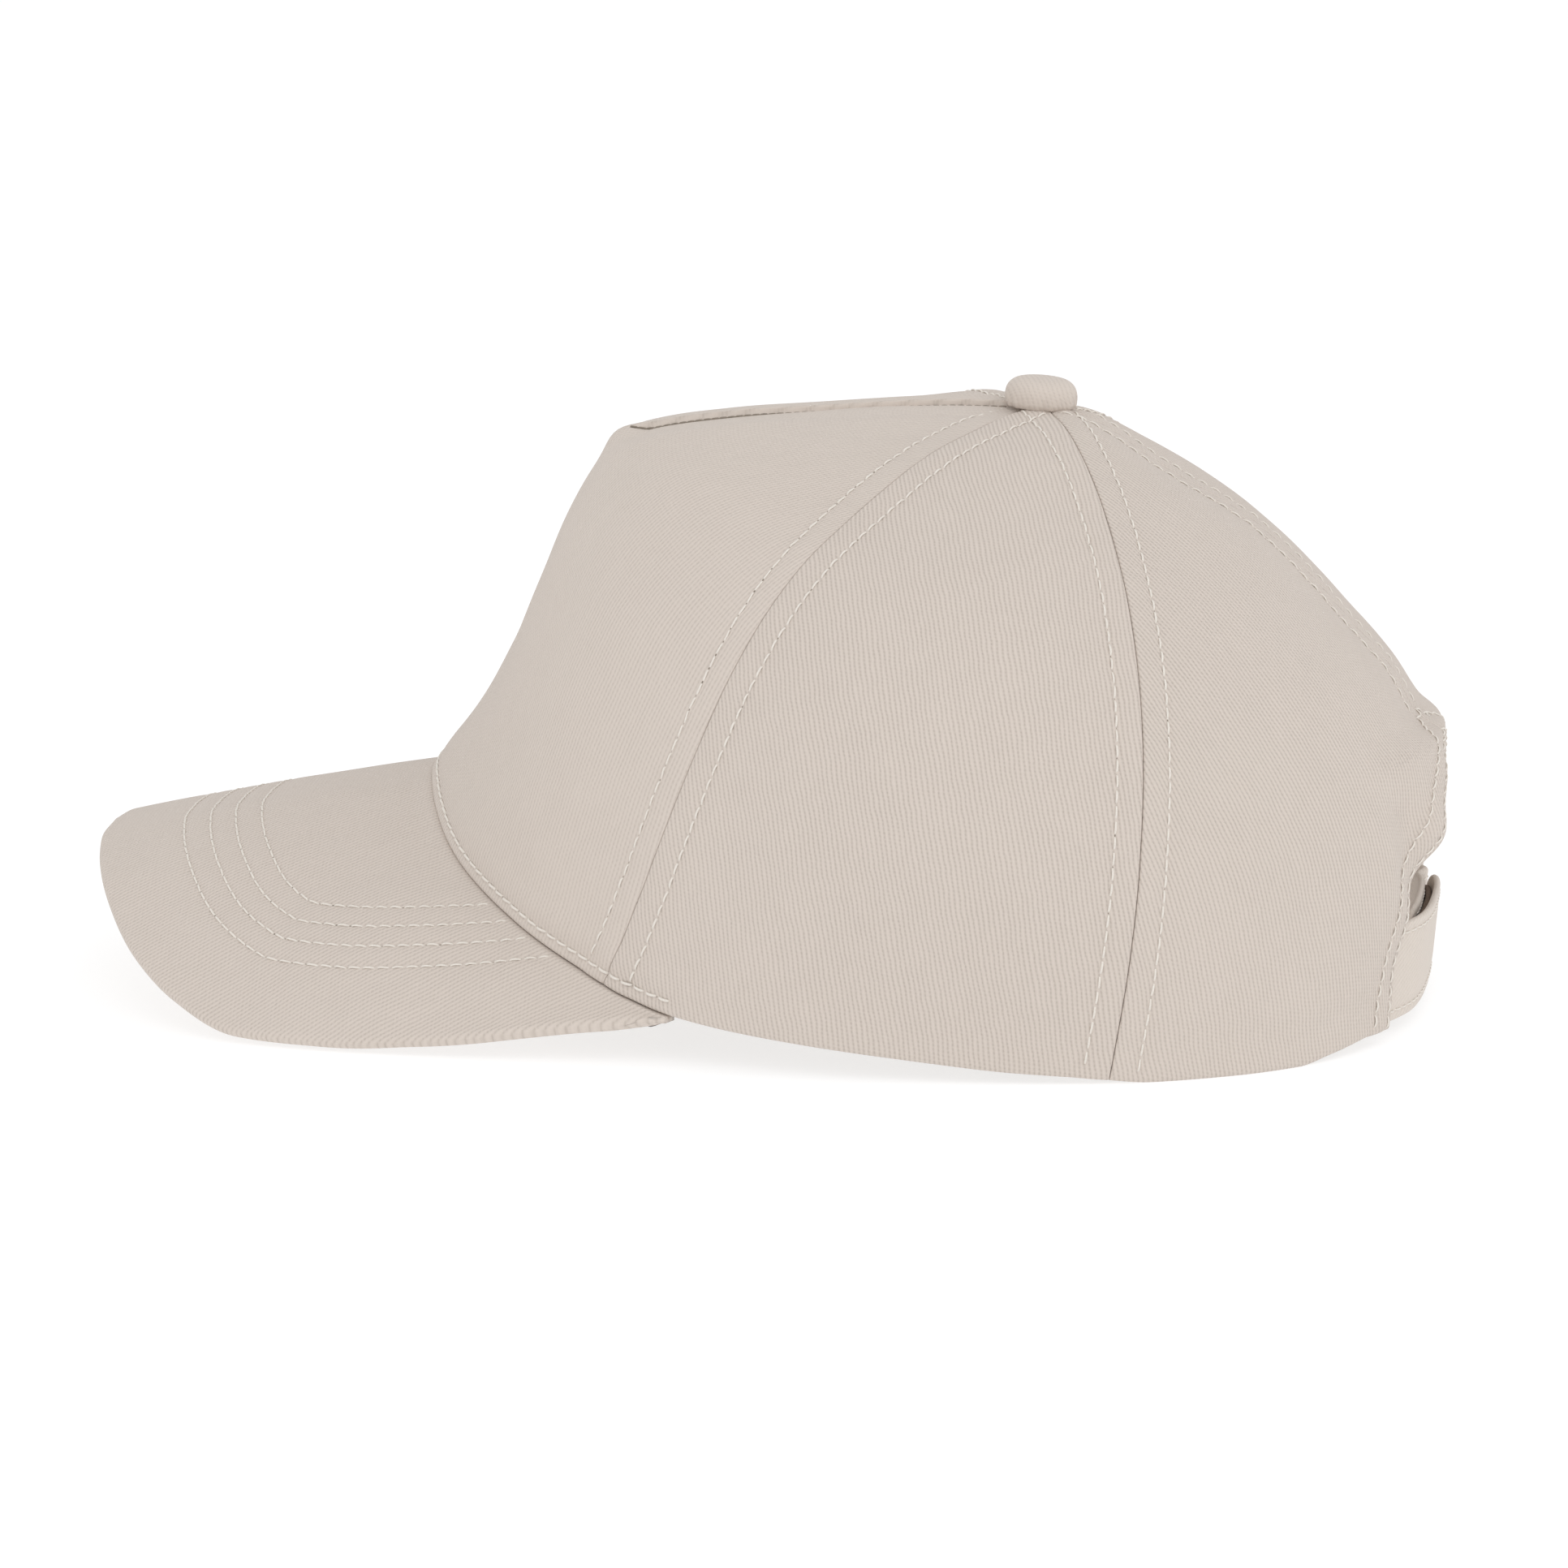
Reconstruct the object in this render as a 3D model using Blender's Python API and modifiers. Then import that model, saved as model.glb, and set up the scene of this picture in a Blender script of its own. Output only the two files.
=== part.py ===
"""Five panel cap: a cloth crown of five sewn panels, a curved peak and a back strap.

The wearer faces -X, up is +Z and the wearer's left side is -Y.  The crown is one
smooth surface, found for a direction around the head (0 at the front, 180 at the
back, positive on the wearer's left) and a share of the way up from its lower edge.
The panels, the sweatband and the straps are all laid out on that surface.
"""
import math

import bpy
import numpy as np

# Crown
CROWN_LENGTH = 0.196
CROWN_WIDTH = 0.168
CROWN_HEIGHT = 0.1155
APEX_BACK = 0.021
FRONT_RISE = 0.0425
CLOTH_THICKNESS = 0.0016
SEAM_GAP = 0.0003
PANEL_PUFF = 0.0008
SQUARE_POWER = 2.5
SQUARE_FADE = 0.6
HEM_SHARE = 0.03

# Seams, as directions at the lower edge and how far they turn on their way up
FRONT_SEAM, FRONT_SEAM_TURN, FRONT_SEAM_POWER = 57.3, 15.0, 2.7
BACK_SEAM, BACK_SEAM_TURN, BACK_SEAM_POWER = 115.4, 9.4, 1.9
APEX_HOLE = 0.0050

# Peak
PEAK_REACH = 0.0655
PEAK_FLARE = 0.0013
PEAK_TIP_HEIGHT = 0.0290
PEAK_THICKNESS = 0.0030
PEAK_BULGE = 0.0012
PEAK_TAB = 0.0030
PEAK_END = 66.0

# Back opening, strap and its hook-and-loop closure
ARCH_WIDTH = 0.074
ARCH_HEIGHT = 0.0523
STRAP_WIDTH = 0.0185
STRAP_BOTTOM = 0.0029
STRAP_THICKNESS = 0.0014
STRAP_INSET = 0.0009
STRAP_LEAN = 0.0010
STRAP_TUCK = 146.0
STRAP_END = 196.0
UNDER_STRAP_END = 168.0
CLOSURE_THICKNESS = 0.0010
CLOSURE_MARGIN = 0.0022

# Sweatband inside the crown
BAND_HEIGHT = 0.028
BAND_THICKNESS = 0.0012
BAND_LIFT = 0.0010
BAND_END = 143.5
LAYER_GAP = 0.0005

# Button and its rivet
BUTTON_DIAMETER = 0.0140
BUTTON_HEIGHT = 0.0068
BUTTON_LIFT = 0.0010
BUTTON_TILT = math.radians(4)
POST_DIAMETER = 0.0030
RIVET_DIAMETER = 0.0070
RIVET_DROP = 0.0034
RIVET_THICKNESS = 0.0008

CLOTH_COLOUR = (0.645, 0.585, 0.520, 1.0)
BAND_COLOUR = (0.600, 0.540, 0.475, 1.0)

# Height of the crown's lower edge: direction, share of FRONT_RISE
EDGE_RISE = np.array([
    (0, 1.000), (8, 0.972), (14, 0.908), (20, 0.828), (28, 0.713), (34, 0.635), (40, 0.560),
    (49, 0.438), (54, 0.372), (60, 0.292), (66, 0.230), (72, 0.193), (82, 0.148), (91, 0.110),
    (98, 0.080), (104, 0.054), (111, 0.033), (116, 0.014), (120, 0.0), (138, 0.0), (143, 0.028),
    (152, 0.061), (180, 0.068)])

# Profiles from the edge to the apex: share of the way out, share of the way up
PROFILES = {
    0: [(1, 0), (.968, .07), (.924, .17), (.86, .36), (.803, .57), (.766, .715), (.735, .805), (.695, .878),
        (.645, .922), (.504, .96), (.37, .982), (.239, 1), (.12, 1.004), (0, 1)],
    56: [(1, 0), (.99, .12), (.97, .25), (.935, .4), (.89, .53), (.84, .64), (.77, .735), (.68, .81),
         (.56, .875), (.42, .93), (.26, .97), (.12, .993), (0, 1)],
    90: [(1, 0), (1, .08), (.995, .25), (.965, .42), (.917, .55), (.82, .68), (.726, .763), (.571, .847),
         (.43, .907), (.3, .95), (.14, .983), (0, 1)],
    135: [(1, 0), (1.005, .06), (1.01, .15), (1, .3), (.965, .42), (.905, .53), (.825, .63), (.725, .72),
          (.605, .8), (.47, .87), (.325, .93), (.16, .98), (0, 1)],
    180: [(1, 0), (1.01, .06), (1.02, .16), (1.04, .38), (1.03, .45), (.974, .479), (.896, .555),
          (.784, .636), (.662, .729), (.52, .814), (.312, .898), (.1, .983), (0, 1)],
}

# Local folds: direction, share of the way up, radius, depth out (+) or in (-)
FOLDS = [(-70, 0.86, 0.011, 0.0024), (154, 0.25, 0.009, -0.0012), (-155, 0.26, 0.010, -0.0010)]

# Peak outline: seam direction, share of the reach, share of the half-width, share of
# the tip's height, share of the seam's height where the peak ends
PEAK_OUTLINE = np.array([
    (0, 1.000, 0.000, 1.000, 0.0), (7, 0.9975, 0.128, 0.985, 0.0), (14, 0.984, 0.270, 0.925, 0.0),
    (21, 0.960, 0.411, 0.820, 0.0), (28, 0.923, 0.552, 0.665, 0.0), (35, 0.870, 0.694, 0.475, 0.0),
    (42, 0.793, 0.815, 0.265, 0.0), (48, 0.688, 0.911, 0.105, 0.0), (53, 0.551, 0.963, 0.077, 0.0),
    (57, 0.405, 0.988, 0.065, 0.15), (60.5, 0.260, 1.000, 0.060, 0.42), (63.5, 0.130, 0.998, 0.03, 0.75),
    (66, 0.025, 0.990, 0.0, 0.985)])

# Back opening's rim: share of the half-width, share of the height
ARCH = np.array([
    (1, 0), (.973, .14), (.92, .27), (.851, .40), (.784, .51), (.703, .61), (.595, .71), (.473, .81),
    (.324, .90), (.162, .972), (0, 1)])

# Button dome: share of the radius, share of the height
DOME = [(0, 1), (.3, .985), (.58, .92), (.8, .79), (.94, .58), (1, .34), (.98, .14), (.88, 0)]


def smooth(x):
    x = np.clip(x, 0.0, 1.0)
    return x * x * (3.0 - 2.0 * x)


def hermite(u, step, low, high, slope_low, slope_high):
    return ((2 * u**3 - 3 * u**2 + 1) * low + (u**3 - 2 * u**2 + u) * step * slope_low
            + (3 * u**2 - 2 * u**3) * high + (u**3 - u**2) * step * slope_high)


def curve(knots, values, at):
    """Smooth curve through the values that never overshoots them."""
    knots, values = np.asarray(knots, float), np.asarray(values, float)
    steps = np.diff(knots)
    rises = np.diff(values) / steps
    slopes = np.zeros_like(values)
    same = rises[:-1] * rises[1:] > 0
    slopes[1:-1][same] = 2 * rises[:-1][same] * rises[1:][same] / (rises[:-1] + rises[1:])[same]
    slopes[0], slopes[-1] = rises[0], rises[-1]
    at = np.clip(at, knots[0], knots[-1])
    i = np.clip(np.searchsorted(knots, at, side="right") - 1, 0, len(knots) - 2)
    return hermite((at - knots[i]) / steps[i], steps[i], values[i], values[i + 1], slopes[i], slopes[i + 1])


def front_seam(share):
    return FRONT_SEAM + FRONT_SEAM_TURN * (1 - (1 - share) ** FRONT_SEAM_POWER)


def back_seam(share):
    return BACK_SEAM + BACK_SEAM_TURN * (1 - (1 - share) ** BACK_SEAM_POWER)


def edge_height(direction):
    return FRONT_RISE * curve(EDGE_RISE[:, 0], EDGE_RISE[:, 1], np.abs(direction))


def edge_point(direction, squareness=1.0):
    """Lower edge of the crown; its rear half is squarer than an ellipse."""
    angle = np.radians(direction)
    across, along = np.sin(angle), np.cos(angle)
    power = np.where(along < 0, 2.0 + (SQUARE_POWER - 2.0) * squareness, 2.0)
    reach = (np.abs(along) ** power + np.abs(across) ** power) ** (-1.0 / power)
    return np.stack([-CROWN_LENGTH / 2 * along * reach, -CROWN_WIDTH / 2 * across * reach,
                     edge_height(direction)], -1)


def profile(key, share):
    points = np.array(PROFILES[key], float)
    lengths = np.concatenate([[0], np.cumsum(np.hypot(*np.diff(points, axis=0).T))])
    lengths /= lengths[-1]
    return np.stack([curve(lengths, points[:, 0], share), curve(lengths, points[:, 1], share)], -1)


def blended_profile(direction, share):
    """The profiles blended around the head, mirrored at the front and the back."""
    keys = np.array(sorted(PROFILES), float)
    shapes = np.stack([profile(int(k), share) for k in keys])
    rises = np.diff(shapes, axis=0) / np.diff(keys).reshape((-1,) + (1,) * (shapes.ndim - 1))
    slopes = np.zeros_like(shapes)
    slopes[1:-1] = (rises[:-1] + rises[1:]) / 2
    around = np.clip(np.abs(direction), 0, 180)
    i = np.clip(np.searchsorted(keys, around, side="right") - 1, 0, len(keys) - 2)
    step = (keys[i + 1] - keys[i])[..., None]
    u = (around - keys[i])[..., None] / step
    pick = lambda table, at: np.take_along_axis(table, at[None, ..., None].repeat(2, -1), 0)[0]
    return hermite(u, step, pick(shapes, i), pick(shapes, i + 1), pick(slopes, i), pick(slopes, i + 1))


def bare_crown(direction, share):
    """Crown surface before the panels puff out and the folds are pressed in."""
    direction, share = np.broadcast_arrays(np.asarray(direction, float), np.asarray(share, float))
    above_hem = np.clip((share - HEM_SHARE) / (1 - HEM_SHARE), 0, 1)
    out_up = blended_profile(direction, share)
    out = 1 + (out_up[..., 0] - 1) * smooth((share - HEM_SHARE) / HEM_SHARE)
    edge = edge_point(direction, 1 - smooth(above_hem / SQUARE_FADE))
    x = APEX_BACK + (edge[..., 0] - APEX_BACK) * out
    y = edge[..., 1] * out
    z = edge[..., 2] + (CROWN_HEIGHT - edge[..., 2]) * out_up[..., 1]
    return np.stack([x, y, z], -1)


def outward(surface, direction, share, step=0.25, rise=0.004):
    """Unit normals of a surface given by direction and share, pointing out."""
    low, high = np.clip(share - rise, 0, 1), np.clip(share + rise, 0, 1)
    around = surface(direction + step, share) - surface(direction - step, share)
    up = surface(direction, high) - surface(direction, low)
    normal = np.cross(around, up)
    return normal / np.maximum(np.linalg.norm(normal, axis=-1, keepdims=True), 1e-12)


def crown(direction, share):
    """Outer surface of the crown."""
    direction, share = np.broadcast_arrays(np.asarray(direction, float), np.asarray(share, float))
    points = bare_crown(direction, share)
    around = np.abs(direction)
    front, back = front_seam(share), back_seam(share)
    on_front = np.clip(around / front, 0, 1)
    on_side = np.clip((around - front) / (back - front), 0, 1)
    on_back = np.clip((around - back) / (180 - back), 0, 1)
    lobes = np.sin(np.pi * on_front) * smooth((share - 0.5) / 0.15)
    lift = PANEL_PUFF * np.sin(np.pi * np.clip(share, 0, 1)) * np.where(
        around < front, lobes, np.where(around < back, np.sin(np.pi * on_side), np.sin(np.pi * on_back)))
    for at, up, radius, depth in FOLDS:
        centre = bare_crown(np.array([float(at)]), np.array([float(up)]))[0]
        lift = lift + depth * np.exp(-(((points - centre) / radius) ** 2).sum(-1))
    lift = lift * smooth((share - HEM_SHARE) / HEM_SHARE)
    return points + outward(bare_crown, direction, share) * lift[..., None]


def inside(direction, share, depth):
    """Points a depth inside the crown's outer surface."""
    return crown(direction, share) - outward(crown, direction, share) * depth


def half_gap(direction, share):
    """Half the seam gap, as a change of direction."""
    span = np.linalg.norm(crown(direction + 0.5, share) - crown(direction - 0.5, share), axis=-1)
    return SEAM_GAP / 2 / np.maximum(span, 1e-5)


def bisect(gap, low, high, rounds=20):
    """Where a rising gap function of an array crosses zero."""
    low, high = np.array(low, float), np.array(high, float)
    for _ in range(rounds):
        middle = (low + high) / 2
        below = gap(middle) < 0
        low, high = np.where(below, middle, low), np.where(below, high, middle)
    return (low + high) / 2


def share_at_height(direction, height):
    return bisect(lambda s: crown(direction, s)[..., 2] - height, np.zeros_like(direction),
                  np.full_like(direction, 0.7))


def top_share(direction):
    """Share at which the panels stop, at the hole under the button."""
    def past(share):
        points = crown(direction, share)
        return APEX_HOLE / 2 - np.hypot(points[..., 0] - APEX_BACK, points[..., 1])
    return bisect(past, np.full_like(direction, 0.8), np.ones_like(direction))


def arch_point(along):
    """Direction and share of the back opening's rim, from its foot (0) to its top (1)."""
    reach = np.concatenate([[0], np.cumsum(np.hypot(*np.diff(ARCH, axis=0).T))])
    reach /= reach[-1]
    half = ARCH_WIDTH / 2 * curve(reach, ARCH[:, 0], along)
    foot_height = FRONT_RISE * EDGE_RISE[-2, 1]
    height = foot_height + (ARCH_HEIGHT - foot_height) * curve(reach, ARCH[:, 1], along)

    def inward(direction):
        share = share_at_height(direction, height)
        return crown(direction, share)[..., 1] + half
    direction = bisect(inward, np.full_like(along, 130.0), np.full_like(along, 180.0))
    share = np.where(along <= 0, 0.0, share_at_height(direction, height))
    return direction, share


def rows_up(count):
    """Shares of a panel's height: the hem first, then even steps."""
    return np.concatenate([[0.0], np.linspace(HEM_SHARE * 0.8, 1.0, count)])


def front_panel_surface(columns, rows):
    across = np.linspace(-1, 1, columns)[None, :]
    up = rows_up(rows)[:, None]
    rim = top_share(FRONT_SEAM * across[0])
    share = up * rim
    seam = front_seam(share)
    return crown((seam - half_gap(seam, share)) * across, share)


def side_panel_surface(columns, rows, side):
    across = np.linspace(0, 1, columns)[None, :]
    up = rows_up(rows)[:, None]
    rim = top_share(side * (FRONT_SEAM + (BACK_SEAM - FRONT_SEAM) * across[0]))
    share = up * rim
    low = front_seam(share) + half_gap(side * front_seam(share), share)
    high = back_seam(share) - half_gap(side * back_seam(share), share)
    return crown(side * (low + (high - low) * across), share)


def back_panel_surface(hem_columns, arch_columns, rows, side):
    """The lower edge follows the hem to the opening's foot, then the opening's rim."""
    arch_direction, arch_share = arch_point(np.linspace(0, 1, arch_columns))
    hem = np.linspace(BACK_SEAM, arch_direction[0], hem_columns)[:-1]
    low_direction = np.concatenate([hem, arch_direction])
    low_share = np.concatenate([np.zeros_like(hem), arch_share])
    count = len(low_direction)
    top_across = np.linspace(0, 1, count)
    low_across = (low_direction - back_seam(low_share)) / (180 - back_seam(low_share))
    rim = top_share(side * (BACK_SEAM + (180 - BACK_SEAM) * top_across))
    up = rows_up(rows)[:, None]
    share = low_share + (rim - low_share) * up
    across = low_across + (top_across - low_across) * up
    low = back_seam(share) + half_gap(side * back_seam(share), share)
    high = 180 - half_gap(side * 179.0, share)
    return crown(side * (low + (high - low) * across), share)


def peak_surface(columns, rows):
    """Top of the peak: a ruled, slightly crowned surface from the seam to the outline,
    with a tab that runs on under the crown's edge."""
    row = np.arange(len(PEAK_OUTLINE), dtype=float)
    signed = np.linspace(-row[-1], row[-1], columns)
    at, side = np.abs(signed), np.sign(signed)
    direction, reach, width, tip, end = (curve(row, PEAK_OUTLINE[:, c], at) for c in range(5))
    seam_end = edge_point(np.array(PEAK_END))
    half_width = -seam_end[1] + PEAK_FLARE
    tip_x = -CROWN_LENGTH / 2 - PEAK_REACH
    rim = np.stack([seam_end[0] + (tip_x - seam_end[0]) * reach, -half_width * width,
                    PEAK_TIP_HEIGHT * tip + seam_end[2] * end], -1)
    seam = edge_point(direction)
    seam[:, 2] -= SEAM_GAP
    tab = inside(direction, np.zeros_like(direction), PEAK_TAB)
    tab[:, 2] = seam[:, 2]
    grid = [tab, seam + (seam - tab) * 0.12]
    start = grid[1]
    for out in np.linspace(0, 1, rows)[1:]:
        line = start + (rim - start) * out
        line[:, 2] += PEAK_BULGE * 4 * out * (1 - out) * np.sin(np.pi * np.clip(at / row[-1] * 1.2, 0, 1))
        grid.append(line)
    grid = np.array(grid)
    grid[..., 1] *= side
    return grid[:, ::-1]


def sweatband_surface(columns, rows):
    direction = np.linspace(-BAND_END, BAND_END, columns)
    edge = edge_height(direction)
    grid = []
    for up in np.linspace(0, 1, rows):
        height = edge + BAND_LIFT + (BAND_HEIGHT - BAND_LIFT) * up
        share = share_at_height(direction, height)
        grid.append(inside(direction, share, CLOTH_THICKNESS + LAYER_GAP))
    return np.array(grid)


def strap_surface(directions, depth, low, high):
    """A band of cloth that follows the lower edge's line, a depth inside it."""
    around = np.where(directions > 180, 360 - directions, directions)
    side = np.where(directions > 180, -1.0, 1.0)
    normal = outward(bare_crown, around, np.zeros_like(around))
    middle = edge_point(around) - normal * depth[:, None]
    lean = STRAP_LEAN * smooth((around - 154.0) / 18.0)
    grid = []
    for share in (0.0, 0.5, 1.0):
        line = middle.copy()
        line[:, 1] *= side
        line[:, 2] = low + (high - low) * share
        line[:, 0] += lean * (2 * (line[:, 2] - STRAP_BOTTOM) / STRAP_WIDTH - 1)
        grid.append(line)
    return np.array(grid)


def rounded_ends(directions, end, tuck, width):
    """Half-height of a strap whose free end is rounded."""
    span = np.radians(np.abs(end - directions)) * CROWN_LENGTH / 2
    radius = width / 2
    left = np.clip(radius - span, 0, radius * 0.94)
    return np.sqrt(radius ** 2 - left ** 2)


def strap_directions(start, end, count):
    """Even steps, then finer ones around the free end."""
    turn = math.degrees(STRAP_WIDTH / 2 / (CROWN_LENGTH / 2)) * math.copysign(1, end - start)
    body = np.linspace(start, end - turn, count)
    ease = np.sin(np.linspace(0, np.pi / 2, 7))[1:]
    return np.concatenate([body, end - turn + turn * ease])


def outer_strap_surface():
    directions = strap_directions(STRAP_TUCK, STRAP_END, 16)
    half = rounded_ends(directions, STRAP_END, STRAP_TUCK, STRAP_WIDTH)
    depth = np.full_like(directions, CLOTH_THICKNESS + STRAP_INSET)
    middle = STRAP_BOTTOM + STRAP_WIDTH / 2
    return strap_surface(directions, depth, middle - half, middle + half)


def under_strap_surface():
    directions = strap_directions(360 - STRAP_TUCK, UNDER_STRAP_END, 16)
    half = rounded_ends(directions, UNDER_STRAP_END, 360 - STRAP_TUCK, STRAP_WIDTH)
    layers = STRAP_THICKNESS + CLOSURE_THICKNESS + 2 * SEAM_GAP
    slack = smooth((360 - STRAP_TUCK - 6 - directions) / (360 - STRAP_TUCK - 6 - STRAP_END - 1.5))
    depth = CLOTH_THICKNESS + STRAP_INSET + layers * slack
    middle = STRAP_BOTTOM + STRAP_WIDTH / 2
    return strap_surface(directions, depth, middle - half, middle + half)[:, ::-1]


def closure_surface():
    inset = math.degrees(STRAP_WIDTH / 2 / (CROWN_LENGTH / 2)) / 2
    directions = np.linspace(UNDER_STRAP_END + inset, STRAP_END - inset, 12)
    depth = np.full_like(directions, CLOTH_THICKNESS + STRAP_INSET + STRAP_THICKNESS + SEAM_GAP)
    low = np.full_like(directions, STRAP_BOTTOM + CLOSURE_MARGIN)
    return strap_surface(directions, depth, low, low + STRAP_WIDTH - 2 * CLOSURE_MARGIN)


def make_material(name, colour, roughness):
    material = bpy.data.materials.new(name)
    material.use_nodes = True
    shader = material.node_tree.nodes["Principled BSDF"]
    shader.inputs["Base Color"].default_value = colour
    shader.inputs["Roughness"].default_value = roughness
    shader.inputs["Metallic"].default_value = 0.0
    return material


def add_object(name, mesh, collection, colour=CLOTH_COLOUR, roughness=0.9):
    piece = bpy.data.objects.new(name, mesh)
    collection.objects.link(piece)
    mesh.materials.append(make_material(name + "_cloth", colour, roughness))
    return piece


def add_shell(name, grid, thickness, collection, shift, colour=CLOTH_COLOUR):
    """A sheet of cloth: an open surface with its outer face on the grid."""
    rows, columns = grid.shape[:2]
    points = (grid + shift).reshape(-1, 3)
    faces = []
    for r in range(rows - 1):
        for c in range(columns - 1):
            corner = r * columns + c
            faces.append((corner, corner + 1, corner + columns + 1, corner + columns))
    mesh = bpy.data.meshes.new(name)
    mesh.from_pydata(points.tolist(), [], faces)
    mesh.shade_smooth()
    piece = add_object(name, mesh, collection, colour)
    shell = piece.modifiers.new("Thickness", "SOLIDIFY")
    shell.thickness = thickness
    shell.offset = -1.0
    shell.use_even_offset = True
    shell.use_quality_normals = True
    return piece


def add_button(name, collection, shift):
    """Covered button, its post through the apex hole and the rivet's disc inside."""
    base = BUTTON_LIFT
    post_end = base - CLOTH_THICKNESS - RIVET_DROP
    outline = [(BUTTON_DIAMETER / 2 * r, base + BUTTON_HEIGHT * h) for r, h in DOME]
    outline += [(POST_DIAMETER / 2, base), (POST_DIAMETER / 2, post_end), (RIVET_DIAMETER / 2, post_end),
                (RIVET_DIAMETER / 2, post_end - RIVET_THICKNESS), (0.0, post_end - RIVET_THICKNESS)]
    mesh = bpy.data.meshes.new(name)
    edges = [(i, i + 1) for i in range(len(outline) - 1)]
    mesh.from_pydata([(r, 0.0, h) for r, h in outline], edges, [])
    piece = add_object(name, mesh, collection)
    turned = piece.modifiers.new("Turned", "SCREW")
    turned.axis = "Z"
    turned.angle = math.tau
    turned.steps = 28
    turned.render_steps = 28
    turned.use_merge_vertices = True
    turned.merge_threshold = 0.00002
    turned.use_smooth_shade = True
    piece.location = (APEX_BACK + shift[0], shift[1], CROWN_HEIGHT + shift[2])
    piece.rotation_euler = (0.0, BUTTON_TILT, 0.0)
    return piece


def main():
    for old in list(bpy.data.objects):
        bpy.data.objects.remove(old, do_unlink=True)
    collection = bpy.data.collections.new("Five panel cap")
    bpy.context.scene.collection.children.link(collection)

    surfaces = {
        "front_panel": (front_panel_surface(19, 17), CLOTH_THICKNESS),
        "side_panel_left": (side_panel_surface(10, 17, 1), CLOTH_THICKNESS),
        "side_panel_right": (side_panel_surface(10, 17, -1)[:, ::-1], CLOTH_THICKNESS),
        "back_panel_left": (back_panel_surface(8, 10, 17, 1), CLOTH_THICKNESS),
        "back_panel_right": (back_panel_surface(8, 10, 17, -1)[:, ::-1], CLOTH_THICKNESS),
        "peak": (peak_surface(45, 6), PEAK_THICKNESS),
        "sweatband": (sweatband_surface(57, 4), BAND_THICKNESS),
        "strap_left": (outer_strap_surface(), STRAP_THICKNESS),
        "strap_right": (under_strap_surface(), STRAP_THICKNESS),
        "closure_patch": (closure_surface(), CLOSURE_THICKNESS),
    }
    # The origin is the middle of the cap's outline, on the surface that it stands on.
    x = np.concatenate([grid[..., 0].ravel() for grid, _ in surfaces.values()])
    shift = np.array([-(x.min() + x.max()) / 2, 0.0, 0.0])
    for name, (grid, thickness) in surfaces.items():
        colour = BAND_COLOUR if name in ("sweatband", "closure_patch") else CLOTH_COLOUR
        add_shell(name, grid, thickness, collection, shift, colour)
    add_button("button", collection, shift)


main()
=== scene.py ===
"""Five panel cap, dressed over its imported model.

The wearer faces -X, up is +Z and the wearer's left side is -Y.  A place on the crown
is a direction around the head (0 at the front, 180 at the back, positive on the
wearer's left) and a share of the way up from its lower edge.  The cloth shells, the
stitching and the trim are all laid out on that surface.
"""
import math

import bpy
import numpy as np
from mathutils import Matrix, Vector


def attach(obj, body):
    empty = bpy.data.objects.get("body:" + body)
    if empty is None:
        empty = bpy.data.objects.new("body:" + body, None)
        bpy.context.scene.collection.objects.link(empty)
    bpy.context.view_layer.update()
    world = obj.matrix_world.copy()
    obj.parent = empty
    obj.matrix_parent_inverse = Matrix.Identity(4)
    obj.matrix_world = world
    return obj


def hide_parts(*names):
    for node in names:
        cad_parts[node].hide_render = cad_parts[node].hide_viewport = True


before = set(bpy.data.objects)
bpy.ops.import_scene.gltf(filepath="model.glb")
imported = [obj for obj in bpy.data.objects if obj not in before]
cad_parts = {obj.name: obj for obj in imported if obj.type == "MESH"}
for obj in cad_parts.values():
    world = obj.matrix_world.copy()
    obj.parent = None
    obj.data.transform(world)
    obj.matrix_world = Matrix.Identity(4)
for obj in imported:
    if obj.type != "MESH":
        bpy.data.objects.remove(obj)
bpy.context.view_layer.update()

# Crown
CROWN_LENGTH = 0.196
CROWN_WIDTH = 0.168
CROWN_HEIGHT = 0.1155
CROWN_SHIFT = 0.0314055
APEX_BACK = 0.021
FRONT_RISE = 0.0425
CLOTH_THICKNESS = 0.0016
SEAM_GAP = 0.00016
PANEL_PUFF = 0.0008
SQUARE_POWER = 2.5
SQUARE_FADE = 0.6
HEM_SHARE = 0.03

# Seams, as directions at the lower edge and how far they turn on their way up
FRONT_SEAM, FRONT_SEAM_TURN, FRONT_SEAM_POWER = 57.3, 15.0, 2.7
BACK_SEAM, BACK_SEAM_TURN, BACK_SEAM_POWER = 115.4, 9.4, 1.9
APEX_HOLE = 0.0050
DART_START = 0.572

# Peak
PEAK_REACH = 0.0655
PEAK_FLARE = 0.0013
PEAK_TIP_HEIGHT = 0.0290
PEAK_THICKNESS = 0.0030
PEAK_BULGE = 0.0012
PEAK_TAB = 0.0030
PEAK_END = 66.0
PEAK_ROWS = (0.0173, 0.0226, 0.0277, 0.0329)

# Back opening, strap and its closure
ARCH_WIDTH = 0.074
ARCH_HEIGHT = 0.0523
ARCH_ROWS = (0.0016, 0.0062)
STRAP_WIDTH = 0.0185
STRAP_BOTTOM = 0.0029
STRAP_THICKNESS = 0.0014
STRAP_INSET = 0.0009
STRAP_LEAN, STRAP_LEAN_START = 0.0010, 154.0
STRAP_BOW, STRAP_BOW_START = 0.0027, 151.0
STRAP_BEND_SPAN = 18.0
STRAP_CORNER = 4.0
STRAP_TUCK = 146.0
STRAP_END = 196.0
STRAP_END_POINTS = 15
STRAP_ROW = 0.0020
STRAP_GAP = 0.0003
UNDER_STRAP_END = 168.0
CLOSURE_THICKNESS = 0.0010
CLOSURE_MARGIN = 0.0022

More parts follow.
